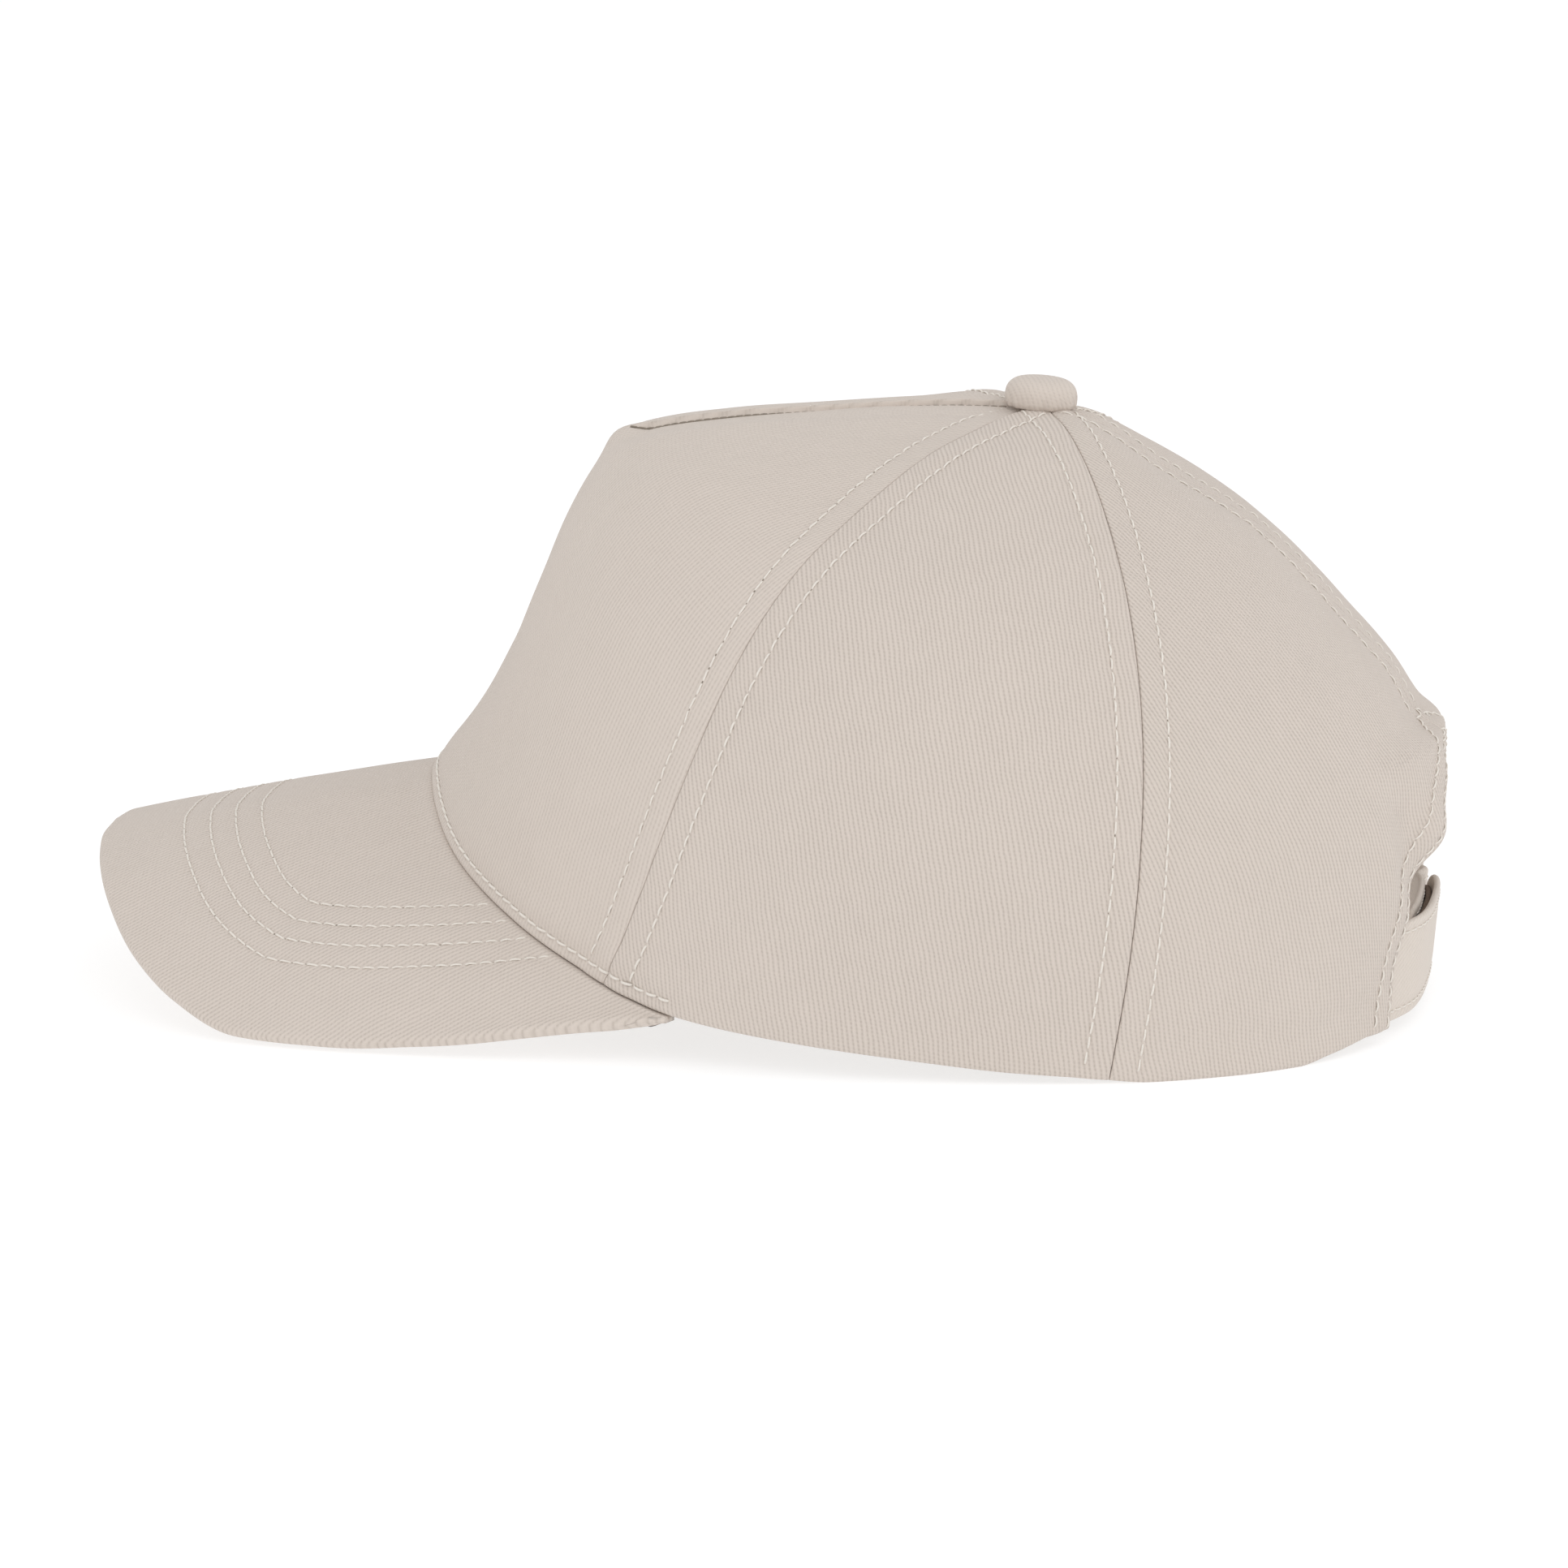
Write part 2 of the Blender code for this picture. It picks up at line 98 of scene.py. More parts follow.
# Sweatband, and the tapes over the seams
BAND_HEIGHT = 0.028
BAND_THICKNESS = 0.0012
BAND_LIFT = 0.0010
BAND_END = 143.5
BAND_ROWS = (0.0024, 0.0248)
LAYER_GAP = 0.0005
TAPE_WIDTH = 0.017
TAPE_DEPTHS = (0.00005, 0.00045)

# Button and its rivet
BUTTON_DIAMETER = 0.0140
BUTTON_HEIGHT = 0.0058
BUTTON_LIFT = -0.0003
BUTTON_TILT = math.radians(4)
POST_DIAMETER = 0.0030
RIVET_DIAMETER = 0.0070
RIVET_DROP = 0.0034
RIVET_THICKNESS = 0.0008
PLEAT_DEPTH = 0.00016

# Stitching
STITCH_PITCH = 0.0029
STITCH_SPACE = 0.00042
THREAD_RADIUS = 0.00019
SEAM_ROLL = 0.00055
SEAM_ROW = 0.0051
EDGE_ROW = 0.0027
EDGE_ROW_END = 66.5
BUTTON_CLEAR = 0.0062
# Size of the dark ovals of painted shade at the needle holes
MARK_LENGTH = 0.00028
MARK_WIDTH = 0.00019

# Shares of the way up where the seams and their rows start and end
SEAM_TOP = 0.975
MIDDLE_TOP = 0.985
ROW_START = {"front": 0.022, "back": 0.012}
MIDDLE_ROW_START = 0.062

# Relief of the sewn cloth: the height of its layers, and how wide and how deep its edges
# roll in; SEAM_DEPTH is a share of SEAM_ROLL
SEAM_LAYERS = 0.00022
SEAM_CUSHION = 0.00012
SEAM_ALLOWANCE = SEAM_ROW + 0.0022
SEAM_DEPTH = {"front": 0.25, "back": 0.8, "middle": 0.7}
RIPPLE_HEIGHT, RIPPLE_LENGTHS = 0.00005, (0.0093, 0.0061)
EDGE_PULL = 1.3
RIM_LAYERS = 0.00050
RIM_ROLL, RIM_DROP = 0.0010, 0.0008
HEM_LAYERS = 0.00010
HEM_WIDTH = 0.011
HEM_ROLL, HEM_DROP = 0.0010, 0.0007
DART_VALLEY, DART_VALLEY_WIDTH = 0.0013, 0.012
DART_LAP, DART_LAP_WIDTH = 0.0015, 0.0115
DART_TIP, DART_TIP_RADIUS = 0.0016, 0.0040
DEEPEST_ROLL = 0.0007
PEAK_ROLL, PEAK_DROP = 0.0012, 0.0011
STRAP_ROLL, STRAP_DROP = 0.0008, 0.0006
BAND_ROLL, BAND_DROP = 0.0008, 0.0005

# Unevenness of the cloth: length of the waves, height, seed
PANEL_WAVES = ((0.034, 0.00016, 5), (0.013, 0.00004, 8))
PEAK_WAVES = ((0.040, 0.00020, 21), (0.016, 0.00004, 22))

# Cloth lengths that the grids are spaced for, and the steps of the grids
FRONT_ACROSS = 0.170
SIDE_ACROSS = 0.078
PANEL_UP = 0.125
BACK_UP = 0.090
BACK_HEM = 0.042
BACK_RIM = 0.066
PEAK_ACROSS = 0.150
PEAK_OUT = 0.066
EDGE_STEP = 0.00015
PATH_STEP = 0.0003
# Points left out at the start of the dark cord of painted shadow along the dart
DART_SHADOW_SKIP = 8
TAB_LINES = 2

# Cloth colours, and how far apart the twill's wales are
CLOTH = (0.640, 0.569, 0.511)
BAND = (0.600, 0.545, 0.480)
STRAP_CLOTH = (0.690, 0.620, 0.556)
WALE_SPACING = 0.00088

# Camera, turned from the wearer's left towards the back; its focal length in pixels
CAMERA_AZIMUTH = math.radians(8.5)
CAMERA_ELEVATION = math.radians(11.0)
CAMERA_DISTANCE = 1.6
CAMERA_TARGET = (-0.029 + CROWN_SHIFT, 0, 0.0395)
SENSOR_WIDTH = 36.0
FOCAL_PIXELS, FRAME_PIXELS = 10080, 1932

# Lamps: name, place, width and power; all point at one place above the floor
LAMP_TARGET = (0, 0, 0.05)
LAMPS = [("key", (0.3, -1.45, 1.5), 1.4, 7.0), ("fill", (-1.6, -0.8, 0.8), 1.4, 3.2),
         ("back", (1.6, -0.4, 1.4), 1.8, 6.5)]
FLOOR_HALF = 4.0

# Height of the crown's lower edge: direction, share of FRONT_RISE
EDGE_RISE = np.array([
    (0, 1.000), (8, 0.972), (14, 0.908), (20, 0.828), (28, 0.713), (34, 0.635), (40, 0.560),
    (49, 0.438), (54, 0.372), (60, 0.292), (66, 0.230), (72, 0.193), (82, 0.148), (91, 0.110),
    (98, 0.080), (104, 0.054), (111, 0.033), (116, 0.014), (120, 0.0), (138, 0.0), (143, 0.028),
    (152, 0.061), (180, 0.068)])

# Profiles from the edge to the apex: share of the way out, share of the way up
PROFILES = {
    0: [(1, 0), (.968, .07), (.924, .17), (.86, .36), (.803, .57), (.766, .715), (.735, .805), (.695, .878),
        (.645, .922), (.504, .96), (.37, .982), (.239, 1), (.12, 1.004), (0, 1)],
    56: [(1, 0), (.99, .12), (.97, .25), (.935, .4), (.89, .53), (.84, .64), (.77, .735), (.68, .81),
         (.56, .875), (.42, .93), (.26, .97), (.12, .993), (0, 1)],
    90: [(1, 0), (1, .08), (.995, .25), (.965, .42), (.917, .55), (.82, .68), (.726, .763), (.571, .847),
         (.43, .907), (.3, .95), (.14, .983), (0, 1)],
    135: [(1, 0), (1.005, .06), (1.01, .15), (1, .3), (.965, .42), (.905, .53), (.825, .63), (.725, .72),
          (.605, .8), (.47, .87), (.325, .93), (.16, .98), (0, 1)],
    180: [(1, 0), (1.01, .06), (1.02, .16), (1.04, .38), (1.03, .45), (.974, .479), (.896, .555),
          (.784, .636), (.662, .729), (.52, .814), (.312, .898), (.1, .983), (0, 1)],
}

# Local folds: direction, share of the way up, radius, depth out (+) or in (-)
FOLDS = [(-70, 0.86, 0.011, 0.0024), (154, 0.25, 0.009, -0.0012), (-155, 0.26, 0.010, -0.0010),
         (165.4, 0.191, 0.0060, 0.0025), (170.5, 0.233, 0.0080, 0.0009), (161.5, 0.145, 0.0060, -0.0015),
         (157, 0.065, 0.0080, -0.0013), (-159.5, 0.116, 0.0120, -0.0022), (-165, 0.195, 0.0090, -0.0015),
         (-171, 0.236, 0.0100, -0.0011), (180, 0.305, 0.0120, -0.0013),
         (152.5, 0.225, 0.0065, 0.0010), (154, 0.165, 0.0060, 0.0009), (158.5, 0.215, 0.0055, -0.0013),
         (157.5, 0.165, 0.0050, -0.0011)]

# Peak outline: seam direction, share of the reach, share of the half-width, share of
# the tip's height, share of the seam's height where the peak ends
PEAK_OUTLINE = np.array([
    (0, 1.000, 0.000, 1.000, 0.0), (7, 0.9975, 0.128, 0.985, 0.0), (14, 0.984, 0.270, 0.925, 0.0),
    (21, 0.960, 0.411, 0.820, 0.0), (28, 0.923, 0.552, 0.665, 0.0), (35, 0.870, 0.694, 0.475, 0.0),
    (42, 0.793, 0.815, 0.265, 0.0), (48, 0.688, 0.911, 0.105, 0.0), (53, 0.551, 0.963, 0.077, 0.0),
    (57, 0.405, 0.988, 0.065, 0.15), (60.5, 0.260, 1.000, 0.060, 0.42), (63.5, 0.130, 0.998, 0.03, 0.75),
    (66, 0.025, 0.990, 0.0, 0.985)])

# Back opening's rim: share of the half-width, share of the height
ARCH = np.array([
    (1, 0), (.973, .14), (.92, .27), (.851, .40), (.784, .51), (.703, .61), (.595, .71), (.473, .81),
    (.324, .90), (.162, .972), (0, 1)])

# Button dome: share of the radius, share of the height
DOME = np.array([(0, 1), (.35, .99), (.66, .935), (.86, .80), (.965, .61), (1, .40), (.985, .17), (.90, 0)])


def smooth(x):
    x = np.clip(x, 0.0, 1.0)
    return x * x * (3.0 - 2.0 * x)


def hermite(u, step, low, high, slope_low, slope_high):
    return ((2 * u**3 - 3 * u**2 + 1) * low + (u**3 - 2 * u**2 + u) * step * slope_low
            + (3 * u**2 - 2 * u**3) * high + (u**3 - u**2) * step * slope_high)


def curve(knots, values, at):
    """Smooth curve through the values that never overshoots them."""
    knots, values = np.asarray(knots, float), np.asarray(values, float)
    steps = np.diff(knots)
    rises = np.diff(values) / steps
    slopes = np.zeros_like(values)
    same = rises[:-1] * rises[1:] > 0
    slopes[1:-1][same] = 2 * rises[:-1][same] * rises[1:][same] / (rises[:-1] + rises[1:])[same]
    slopes[0], slopes[-1] = rises[0], rises[-1]
    at = np.clip(at, knots[0], knots[-1])
    i = np.clip(np.searchsorted(knots, at, side="right") - 1, 0, len(knots) - 2)
    return hermite((at - knots[i]) / steps[i], steps[i], values[i], values[i + 1], slopes[i], slopes[i + 1])


def front_seam(share):
    return FRONT_SEAM + FRONT_SEAM_TURN * (1 - (1 - share) ** FRONT_SEAM_POWER)


def back_seam(share):
    return BACK_SEAM + BACK_SEAM_TURN * (1 - (1 - share) ** BACK_SEAM_POWER)


def edge_height(direction):
    return FRONT_RISE * curve(EDGE_RISE[:, 0], EDGE_RISE[:, 1], np.abs(direction))


def edge_point(direction, squareness=1.0):
    """Lower edge of the crown; its rear half is squarer than an ellipse."""
    angle = np.radians(direction)
    across, along = np.sin(angle), np.cos(angle)
    power = np.where(along < 0, 2.0 + (SQUARE_POWER - 2.0) * squareness, 2.0)
    reach = (np.abs(along) ** power + np.abs(across) ** power) ** (-1.0 / power)
    return np.stack([-CROWN_LENGTH / 2 * along * reach, -CROWN_WIDTH / 2 * across * reach,
                     edge_height(direction)], -1)


TABLE_SHARES = np.linspace(0, 1, 4001)


def profile_table(points):
    points = np.array(points, float)
    lengths = np.concatenate([[0], np.cumsum(np.hypot(*np.diff(points, axis=0).T))])
    lengths /= lengths[-1]
    return curve(lengths, points[:, 0], TABLE_SHARES), curve(lengths, points[:, 1], TABLE_SHARES)


PROFILE_TABLES = {key: profile_table(points) for key, points in PROFILES.items()}


def profile(key, share):
    out, up = PROFILE_TABLES[key]
    return np.stack([np.interp(share, TABLE_SHARES, out), np.interp(share, TABLE_SHARES, up)], -1)


def blended_profile(direction, share):
    """The profiles blended around the head, mirrored at the front and the back."""
    keys = np.array(sorted(PROFILES), float)
    shapes = np.stack([profile(int(k), share) for k in keys])
    rises = np.diff(shapes, axis=0) / np.diff(keys).reshape((-1,) + (1,) * (shapes.ndim - 1))
    slopes = np.zeros_like(shapes)
    slopes[1:-1] = (rises[:-1] + rises[1:]) / 2
    around = np.clip(np.abs(direction), 0, 180)
    i = np.clip(np.searchsorted(keys, around, side="right") - 1, 0, len(keys) - 2)
    step = (keys[i + 1] - keys[i])[..., None]
    u = (around - keys[i])[..., None] / step
    pick = lambda table, at: np.take_along_axis(table, at[None, ..., None].repeat(2, -1), 0)[0]
    return hermite(u, step, pick(shapes, i), pick(shapes, i + 1), pick(slopes, i), pick(slopes, i + 1))


def bare_crown(direction, share):
    """Crown surface before the panels puff out and the folds are pressed in."""
    direction, share = np.broadcast_arrays(np.asarray(direction, float), np.asarray(share, float))
    above_hem = np.clip((share - HEM_SHARE) / (1 - HEM_SHARE), 0, 1)
    out_up = blended_profile(direction, share)
    upright = smooth((np.abs(direction) - 30.0) / 40.0)
    out = 1 + (out_up[..., 0] - 1) * (1 - upright * (1 - smooth((share - HEM_SHARE) / HEM_SHARE)))
    edge = edge_point(direction, 1 - smooth(above_hem / SQUARE_FADE))
    x = APEX_BACK + (edge[..., 0] - APEX_BACK) * out
    y = edge[..., 1] * out
    z = edge[..., 2] + (CROWN_HEIGHT - edge[..., 2]) * out_up[..., 1]
    return np.stack([x, y, z], -1)


def unit(vectors):
    return vectors / np.maximum(np.linalg.norm(vectors, axis=-1, keepdims=True), 1e-12)


def outward(surface, direction, share, step=0.25, rise=0.004):
    """Unit normals of a surface given by direction and share, pointing out."""
    low, high = np.clip(share - rise, 0, 1), np.clip(share + rise, 0, 1)
    around = surface(direction + step, share) - surface(direction - step, share)
    up = surface(direction, high) - surface(direction, low)
    return unit(np.cross(around, up))


def crown(direction, share):
    """Outer surface of the crown."""
    direction, share = np.broadcast_arrays(np.asarray(direction, float), np.asarray(share, float))
    points = bare_crown(direction, share)
    around = np.abs(direction)
    front, back = front_seam(share), back_seam(share)
    on_front = np.clip(around / front, 0, 1)
    on_side = np.clip((around - front) / (back - front), 0, 1)
    on_back = np.clip((around - back) / (180 - back), 0, 1)
    lobes = np.sin(np.pi * on_front) * smooth((share - 0.5) / 0.15)
    lift = PANEL_PUFF * np.sin(np.pi * np.clip(share, 0, 1)) * np.where(
        around < front, lobes, np.where(around < back, np.sin(np.pi * on_side), np.sin(np.pi * on_back)))
    for at, up, radius, depth in FOLDS:
        centre = bare_crown(np.array([float(at)]), np.array([float(up)]))[0]
        lift = lift + depth * np.exp(-(((points - centre) / radius) ** 2).sum(-1))
    lift = lift * smooth((share - HEM_SHARE) / HEM_SHARE)
    return points + outward(bare_crown, direction, share) * lift[..., None]


def inside(direction, share, depth):
    return crown(direction, share) - outward(crown, direction, share) * depth


def half_gap(direction, share):
    """Half the seam gap, as a change of direction."""
    span = np.linalg.norm(crown(direction + 0.5, share) - crown(direction - 0.5, share), axis=-1)
    return SEAM_GAP / 2 / np.maximum(span, 1e-5)


def bisect(gap, low, high, rounds=20):
    """Where a rising gap function of an array crosses zero."""
    low, high = np.array(low, float), np.array(high, float)
    for _ in range(rounds):
        middle = (low + high) / 2
        below = gap(middle) < 0
        low, high = np.where(below, middle, low), np.where(below, high, middle)
    return (low + high) / 2


def share_at_height(direction, height):
    return bisect(lambda s: crown(direction, s)[..., 2] - height, np.zeros_like(direction),
                  np.full_like(direction, 0.7))


def top_share(direction):
    """Share at which the panels stop, at the hole under the button."""
    def past(share):
        points = crown(direction, share)
        return APEX_HOLE / 2 - np.hypot(points[..., 0] - APEX_BACK, points[..., 1])
    return bisect(past, np.full_like(direction, 0.8), np.ones_like(direction))


def arch_table(along):
    """Direction and share of the back opening's rim, from its foot (0) to its top (1)."""
    reach = np.concatenate([[0], np.cumsum(np.hypot(*np.diff(ARCH, axis=0).T))])
    reach /= reach[-1]
    half = ARCH_WIDTH / 2 * curve(reach, ARCH[:, 0], along)
    foot_height = FRONT_RISE * EDGE_RISE[-2, 1]
    height = foot_height + (ARCH_HEIGHT - foot_height) * curve(reach, ARCH[:, 1], along)

    def inward(direction):
        share = share_at_height(direction, height)
        return crown(direction, share)[..., 1] + half
    direction = bisect(inward, np.full_like(along, 130.0), np.full_like(along, 180.0))
    share = np.where(along <= 0, 0.0, share_at_height(direction, height))
    return direction, share


ARCH_ALONG = np.linspace(0, 1, 61)
ARCH_DIRECTION, ARCH_SHARE = arch_table(ARCH_ALONG)


def arch_point(along):
    return curve(ARCH_ALONG, ARCH_DIRECTION, along), curve(ARCH_ALONG, ARCH_SHARE, along)


def arc_lengths(points):
    return np.concatenate([[0], np.cumsum(np.linalg.norm(np.diff(points, axis=0), axis=1))])


def resample(values, arcs, at):
    return np.stack([np.interp(at, arcs, values[:, c]) for c in range(values.shape[1])], -1)


def squares_between(points, others):
    return ((points ** 2).sum(-1)[:, None] + (others ** 2).sum(-1)[None] - 2 * points @ others.T)


def nearest(points, line, reach=0.014):
    """Distance to a line of points, and how far along the line the nearest place is.
    Points further away than the reach only get a distance of 1."""
    flat = points.reshape(-1, 3)
    start, step = line[:-1], np.diff(line, axis=0)
    lengths = np.maximum(np.linalg.norm(step, axis=1), 1e-9)
    arcs = np.concatenate([[0], np.cumsum(lengths)])[:-1]
    distance, along = np.ones(len(flat)), np.zeros(len(flat))
    coarse = line[::6]
    spread = reach + 6 * lengths.max()
    close = np.nonzero(squares_between(flat, coarse).min(1) < spread ** 2)[0]
    for low in range(0, len(close), 4000):
        chosen = close[low:low + 4000]
        part = flat[chosen]
        best, found = np.ones(len(part)), np.zeros(len(part))
        pick = squares_between(part, start).argmin(1)
        for side in (-1, 0):
            at = np.clip(pick + side, 0, len(start) - 1)
            offset = part - start[at]
            t = np.clip((offset * step[at]).sum(-1) / lengths[at] ** 2, 0, 1)
            gap = np.linalg.norm(offset - t[:, None] * step[at], axis=-1)
            better = gap < best
            best = np.where(better, gap, best)
            found = np.where(better, arcs[at] + t * lengths[at], found)
        distance[chosen] = best
        along[chosen] = found
    return distance.reshape(points.shape[:-1]), along.reshape(points.shape[:-1])


def step_aside(direction, share, distance, steps=6):
    """The path moved along the surface by a distance, towards greater directions."""
    direction, share = direction.copy(), share.copy()
    turn, rise = 0.05, 0.0005
    for _ in range(steps):
        along = np.gradient(crown(direction, share), axis=0)
        around = (crown(direction + turn, share) - crown(direction - turn, share)) / (2 * turn)
        up = (crown(direction, share + rise) - crown(direction, share - rise)) / (2 * rise)
        aside = unit(np.cross(unit(along), unit(np.cross(around, up))))
        a, b, c = (around ** 2).sum(-1), (around * up).sum(-1), (up ** 2).sum(-1)
        p, q = (around * aside).sum(-1), (up * aside).sum(-1)
        det = a * c - b * b
        d_direction, d_share = (c * p - b * q) / det, (a * q - b * p) / det
        sign = np.sign(np.median(d_direction))
        direction += sign * d_direction * distance / steps
        share += sign * d_share * distance / steps
    return direction, share


class Line:
    """A path on the crown, its points and the outward normals there."""

    def __init__(self, direction, share):
        keep = (share >= 0) & (share <= 1)
        self.direction, self.share = direction[keep], share[keep]
        self.points = crown(self.direction, self.share)
        self.normals = outward(bare_crown, self.direction, self.share)
        self.arcs = arc_lengths(self.points)

    def clear_of_button(self):
        away = np.hypot(self.points[:, 0] - APEX_BACK, self.points[:, 1]) > BUTTON_CLEAR
        return Line(self.direction[away], self.share[away])


def seam_path(turn_of_seam, side, start=0.0, count=150):
    share = np.linspace(start, SEAM_TOP, count)
    return side * turn_of_seam(share), share


def hem_line(start, end, count):
    direction = np.linspace(start, end, count)
    return Line(direction, np.zeros_like(direction))


def build_lines():
    """Seams, edges and stitch rows by name."""
    lines, rows = {}, {}
    for side, name in ((1, "left"), (-1, "right")):
        for seam, turn in (("front", front_seam), ("back", back_seam)):
            direction, share = seam_path(turn, side)
            lines[f"{seam}_{name}"] = Line(direction, share)
            direction, share = seam_path(turn, side, ROW_START[seam])
            for offset, which in ((-SEAM_ROW, "before"), (SEAM_ROW, "after")):
                path = step_aside(direction, share, offset * side)
                rows[f"{seam}_{name}_{which}"] = Line(*path).clear_of_button()
        arch_direction, arch_share = arch_point(np.linspace(0, 1, 60))
        if side < 0:
            arch_direction = -arch_direction
        lines[f"arch_{name}"] = Line(arch_direction, arch_share)
        for number, offset in enumerate(ARCH_ROWS):
            direction, share = step_aside(arch_direction, arch_share, -offset * side)
            inner = np.abs(direction) < 180.0
            rows[f"arch_{name}_{number}"] = Line(direction[inner], share[inner])
        share = np.linspace(arch_share[-1] + MIDDLE_ROW_START, SEAM_TOP, 120)
        direction, share = step_aside(np.full_like(share, 180.0 * side), share, -SEAM_ROW * side)
        rows[f"middle_{name}"] = Line(direction, share).clear_of_button()
        foot = arch_point(np.zeros(1))[0][0]
        lines[f"edge_side_{name}"] = hem_line(side * (FRONT_SEAM - 6), side * (BACK_SEAM + 6), 160)
        lines[f"edge_back_{name}"] = hem_line(side * (BACK_SEAM - 6), side * foot, 120)
    share = np.linspace(arch_share[-1], MIDDLE_TOP, 120)
    lines["middle"] = Line(np.full_like(share, 180.0), share)
    share = np.linspace(DART_START, MIDDLE_TOP, 120)
    lines["dart"] = Line(np.zeros_like(share), share)
    # The dart's path, for the dark cord that paints the shadow in its seam
    rows["dart_shadow_path"] = lines["dart"].clear_of_button()
    lines["edge_front"] = hem_line(-FRONT_SEAM - 6, FRONT_SEAM + 6, 240)
    direction = np.linspace(-EDGE_ROW_END, EDGE_ROW_END, 300)
    reach = arc_lengths(crown(np.full(40, 30.0), np.linspace(0, 1, 40)))[-1]
    rows["edge"] = Line(direction, np.full_like(direction, EDGE_ROW / reach))
    return lines, rows


LINES, ROWS = build_lines()

# Lines that shape each panel, and the stitch rows on it
PANEL_LINES = {"front_panel": ("front_left", "front_right", "dart", "edge_front")}
PANEL_ROWS = {"front_panel": ("front_left_before", "front_right_before", "edge")}
for hand in ("left", "right"):
    PANEL_LINES["side_panel_" + hand] = (f"front_{hand}", f"back_{hand}", f"edge_side_{hand}")
    PANEL_ROWS["side_panel_" + hand] = (f"front_{hand}_after", f"back_{hand}_before", "edge")
for hand in ("left", "right"):
    PANEL_LINES["back_panel_" + hand] = (f"back_{hand}", "middle", f"arch_{hand}", f"edge_back_{hand}")
    PANEL_ROWS["back_panel_" + hand] = (f"back_{hand}_after", f"middle_{hand}", f"arch_{hand}_0",
                                        f"arch_{hand}_1")


def edge_roll(distance, radius, depth):
    """How far a turned edge rolls in."""
    left = 1 - np.clip(distance / radius, 0, 1)
    return -depth * (1 - np.sqrt(np.maximum(1 - left ** 2, 0)))


def seam_section(distance, deep):
    """A seam with its allowance pressed open under it."""
    layers = SEAM_LAYERS * smooth((SEAM_ALLOWANCE - distance) / 0.0032)
    cushion = SEAM_CUSHION * np.sin(np.pi * np.clip(distance / SEAM_ROW, 0, 1)) ** 0.8
    return layers + cushion + edge_roll(distance, SEAM_ROLL, SEAM_ROLL * deep)


def rim_section(distance):
    """The bound edge of the back opening."""
    layers = RIM_LAYERS * smooth((ARCH_ROWS[1] + 0.0012 - distance) / 0.0018)
    return layers + edge_roll(distance, RIM_ROLL, RIM_DROP)


def hem_section(distance):
    layers = HEM_LAYERS * smooth((HEM_WIDTH - distance) / 0.006)
    return layers + edge_roll(distance, HEM_ROLL, HEM_DROP)


def dart_section(points, distance, along):
    """The dart's seam: a fold whose far side laps over, starting in a blunt corner."""
    valley = -DART_VALLEY * np.exp(-(distance / DART_VALLEY_WIDTH) ** 2)
    valley = valley * smooth((0.0138 - distance) / 0.006)
    wall = smooth(distance / 0.0004) * smooth((DART_LAP_WIDTH - distance) / 0.008)
    lap = DART_LAP * wall * (points[..., 1] > 0)
    corner = np.linalg.norm(points - LINES["dart"].points[0], axis=-1)
    tip = DART_TIP * np.exp(-(corner / DART_TIP_RADIUS) ** 2)
    return (valley + lap) * smooth(along / 0.006) + tip


def row_pitch(length):
    """The stitch length that fits a whole number of times."""
    return length / max(round(length / STITCH_PITCH), 1)


def stitch_pinch(distance, along, length, depth=0.00024, width=0.0008):
    """The thread pulls the cloth down, most of all where the needle went through."""
    beat = 0.6 + 0.4 * np.cos(2 * np.pi * along / row_pitch(length))
    close = depth * beat * np.exp(-(distance / width) ** 2)
    return -close - 0.4 * depth * np.exp(-(distance / (2.4 * width)) ** 2)


def waves(points, length, height, seed, count=9):
    """Gentle unevenness of the cloth, the same on each run."""
    dice = np.random.default_rng(seed)
    total = np.zeros(points.shape[:-1])
    for _ in range(count):
        heading = unit(dice.normal(size=3))
        spacing = length * dice.uniform(0.7, 1.5)
        total += np.sin(points @ heading * 2 * np.pi / spacing + dice.uniform(0, 6.3))
    return height * total / math.sqrt(count)


def relief(points, panel):
    """Height of a panel's cloth above the plain surface."""
    total = sum(waves(points, *kind) for kind in PANEL_WAVES)
    for name in PANEL_LINES[panel]:
        distance, along = nearest(points, LINES[name].points)
        if name == "dart":
            total += dart_section(points, distance, along)
        elif name.startswith("arch"):
            total += rim_section(distance)
        elif name.startswith("edge"):
            total += hem_section(distance)
        else:
            total += seam_section(distance, SEAM_DEPTH[name.split("_")[0]])
            turns = along * 2 * np.pi
            ripple = np.sin(turns / RIPPLE_LENGTHS[0] + 1.3) + np.sin(turns / RIPPLE_LENGTHS[1])
            total += RIPPLE_HEIGHT * ripple * np.exp(-((distance - SEAM_ROW) / 0.0030) ** 2)
    for name in PANEL_ROWS[panel]:
        pinch = stitch_pinch(*nearest(points, ROWS[name].points), ROWS[name].arcs[-1])
        total += pinch * EDGE_PULL if name == "edge" else pinch
    return total


def graded(length, places, coarse):
    """Positions from 0 to 1 with steps that shrink near some places: (place, step) pairs."""
    spots = [0.0]
    while spots[-1] < length:
        here = spots[-1]
        step = min([coarse] + [fine + 0.17 * abs(here - place) for place, fine in places])
        spots.append(here + step)
    return np.array(spots) / spots[-1]


def grid_normals(grid):
    return unit(np.cross(np.gradient(grid, axis=1), np.gradient(grid, axis=0)))


def grid_uv(grid):
    """Lengths along the cloth from its middle column, in metres."""
    rows, columns = grid.shape[:2]
    across = np.concatenate([np.zeros((rows, 1)),
                             np.cumsum(np.linalg.norm(np.diff(grid, axis=1), axis=-1), axis=1)], 1)
    across -= across[:, columns // 2][:, None]
    up = arc_lengths(grid[:, columns // 2])
    return np.stack([across, np.broadcast_to(up[:, None], across.shape)], -1)


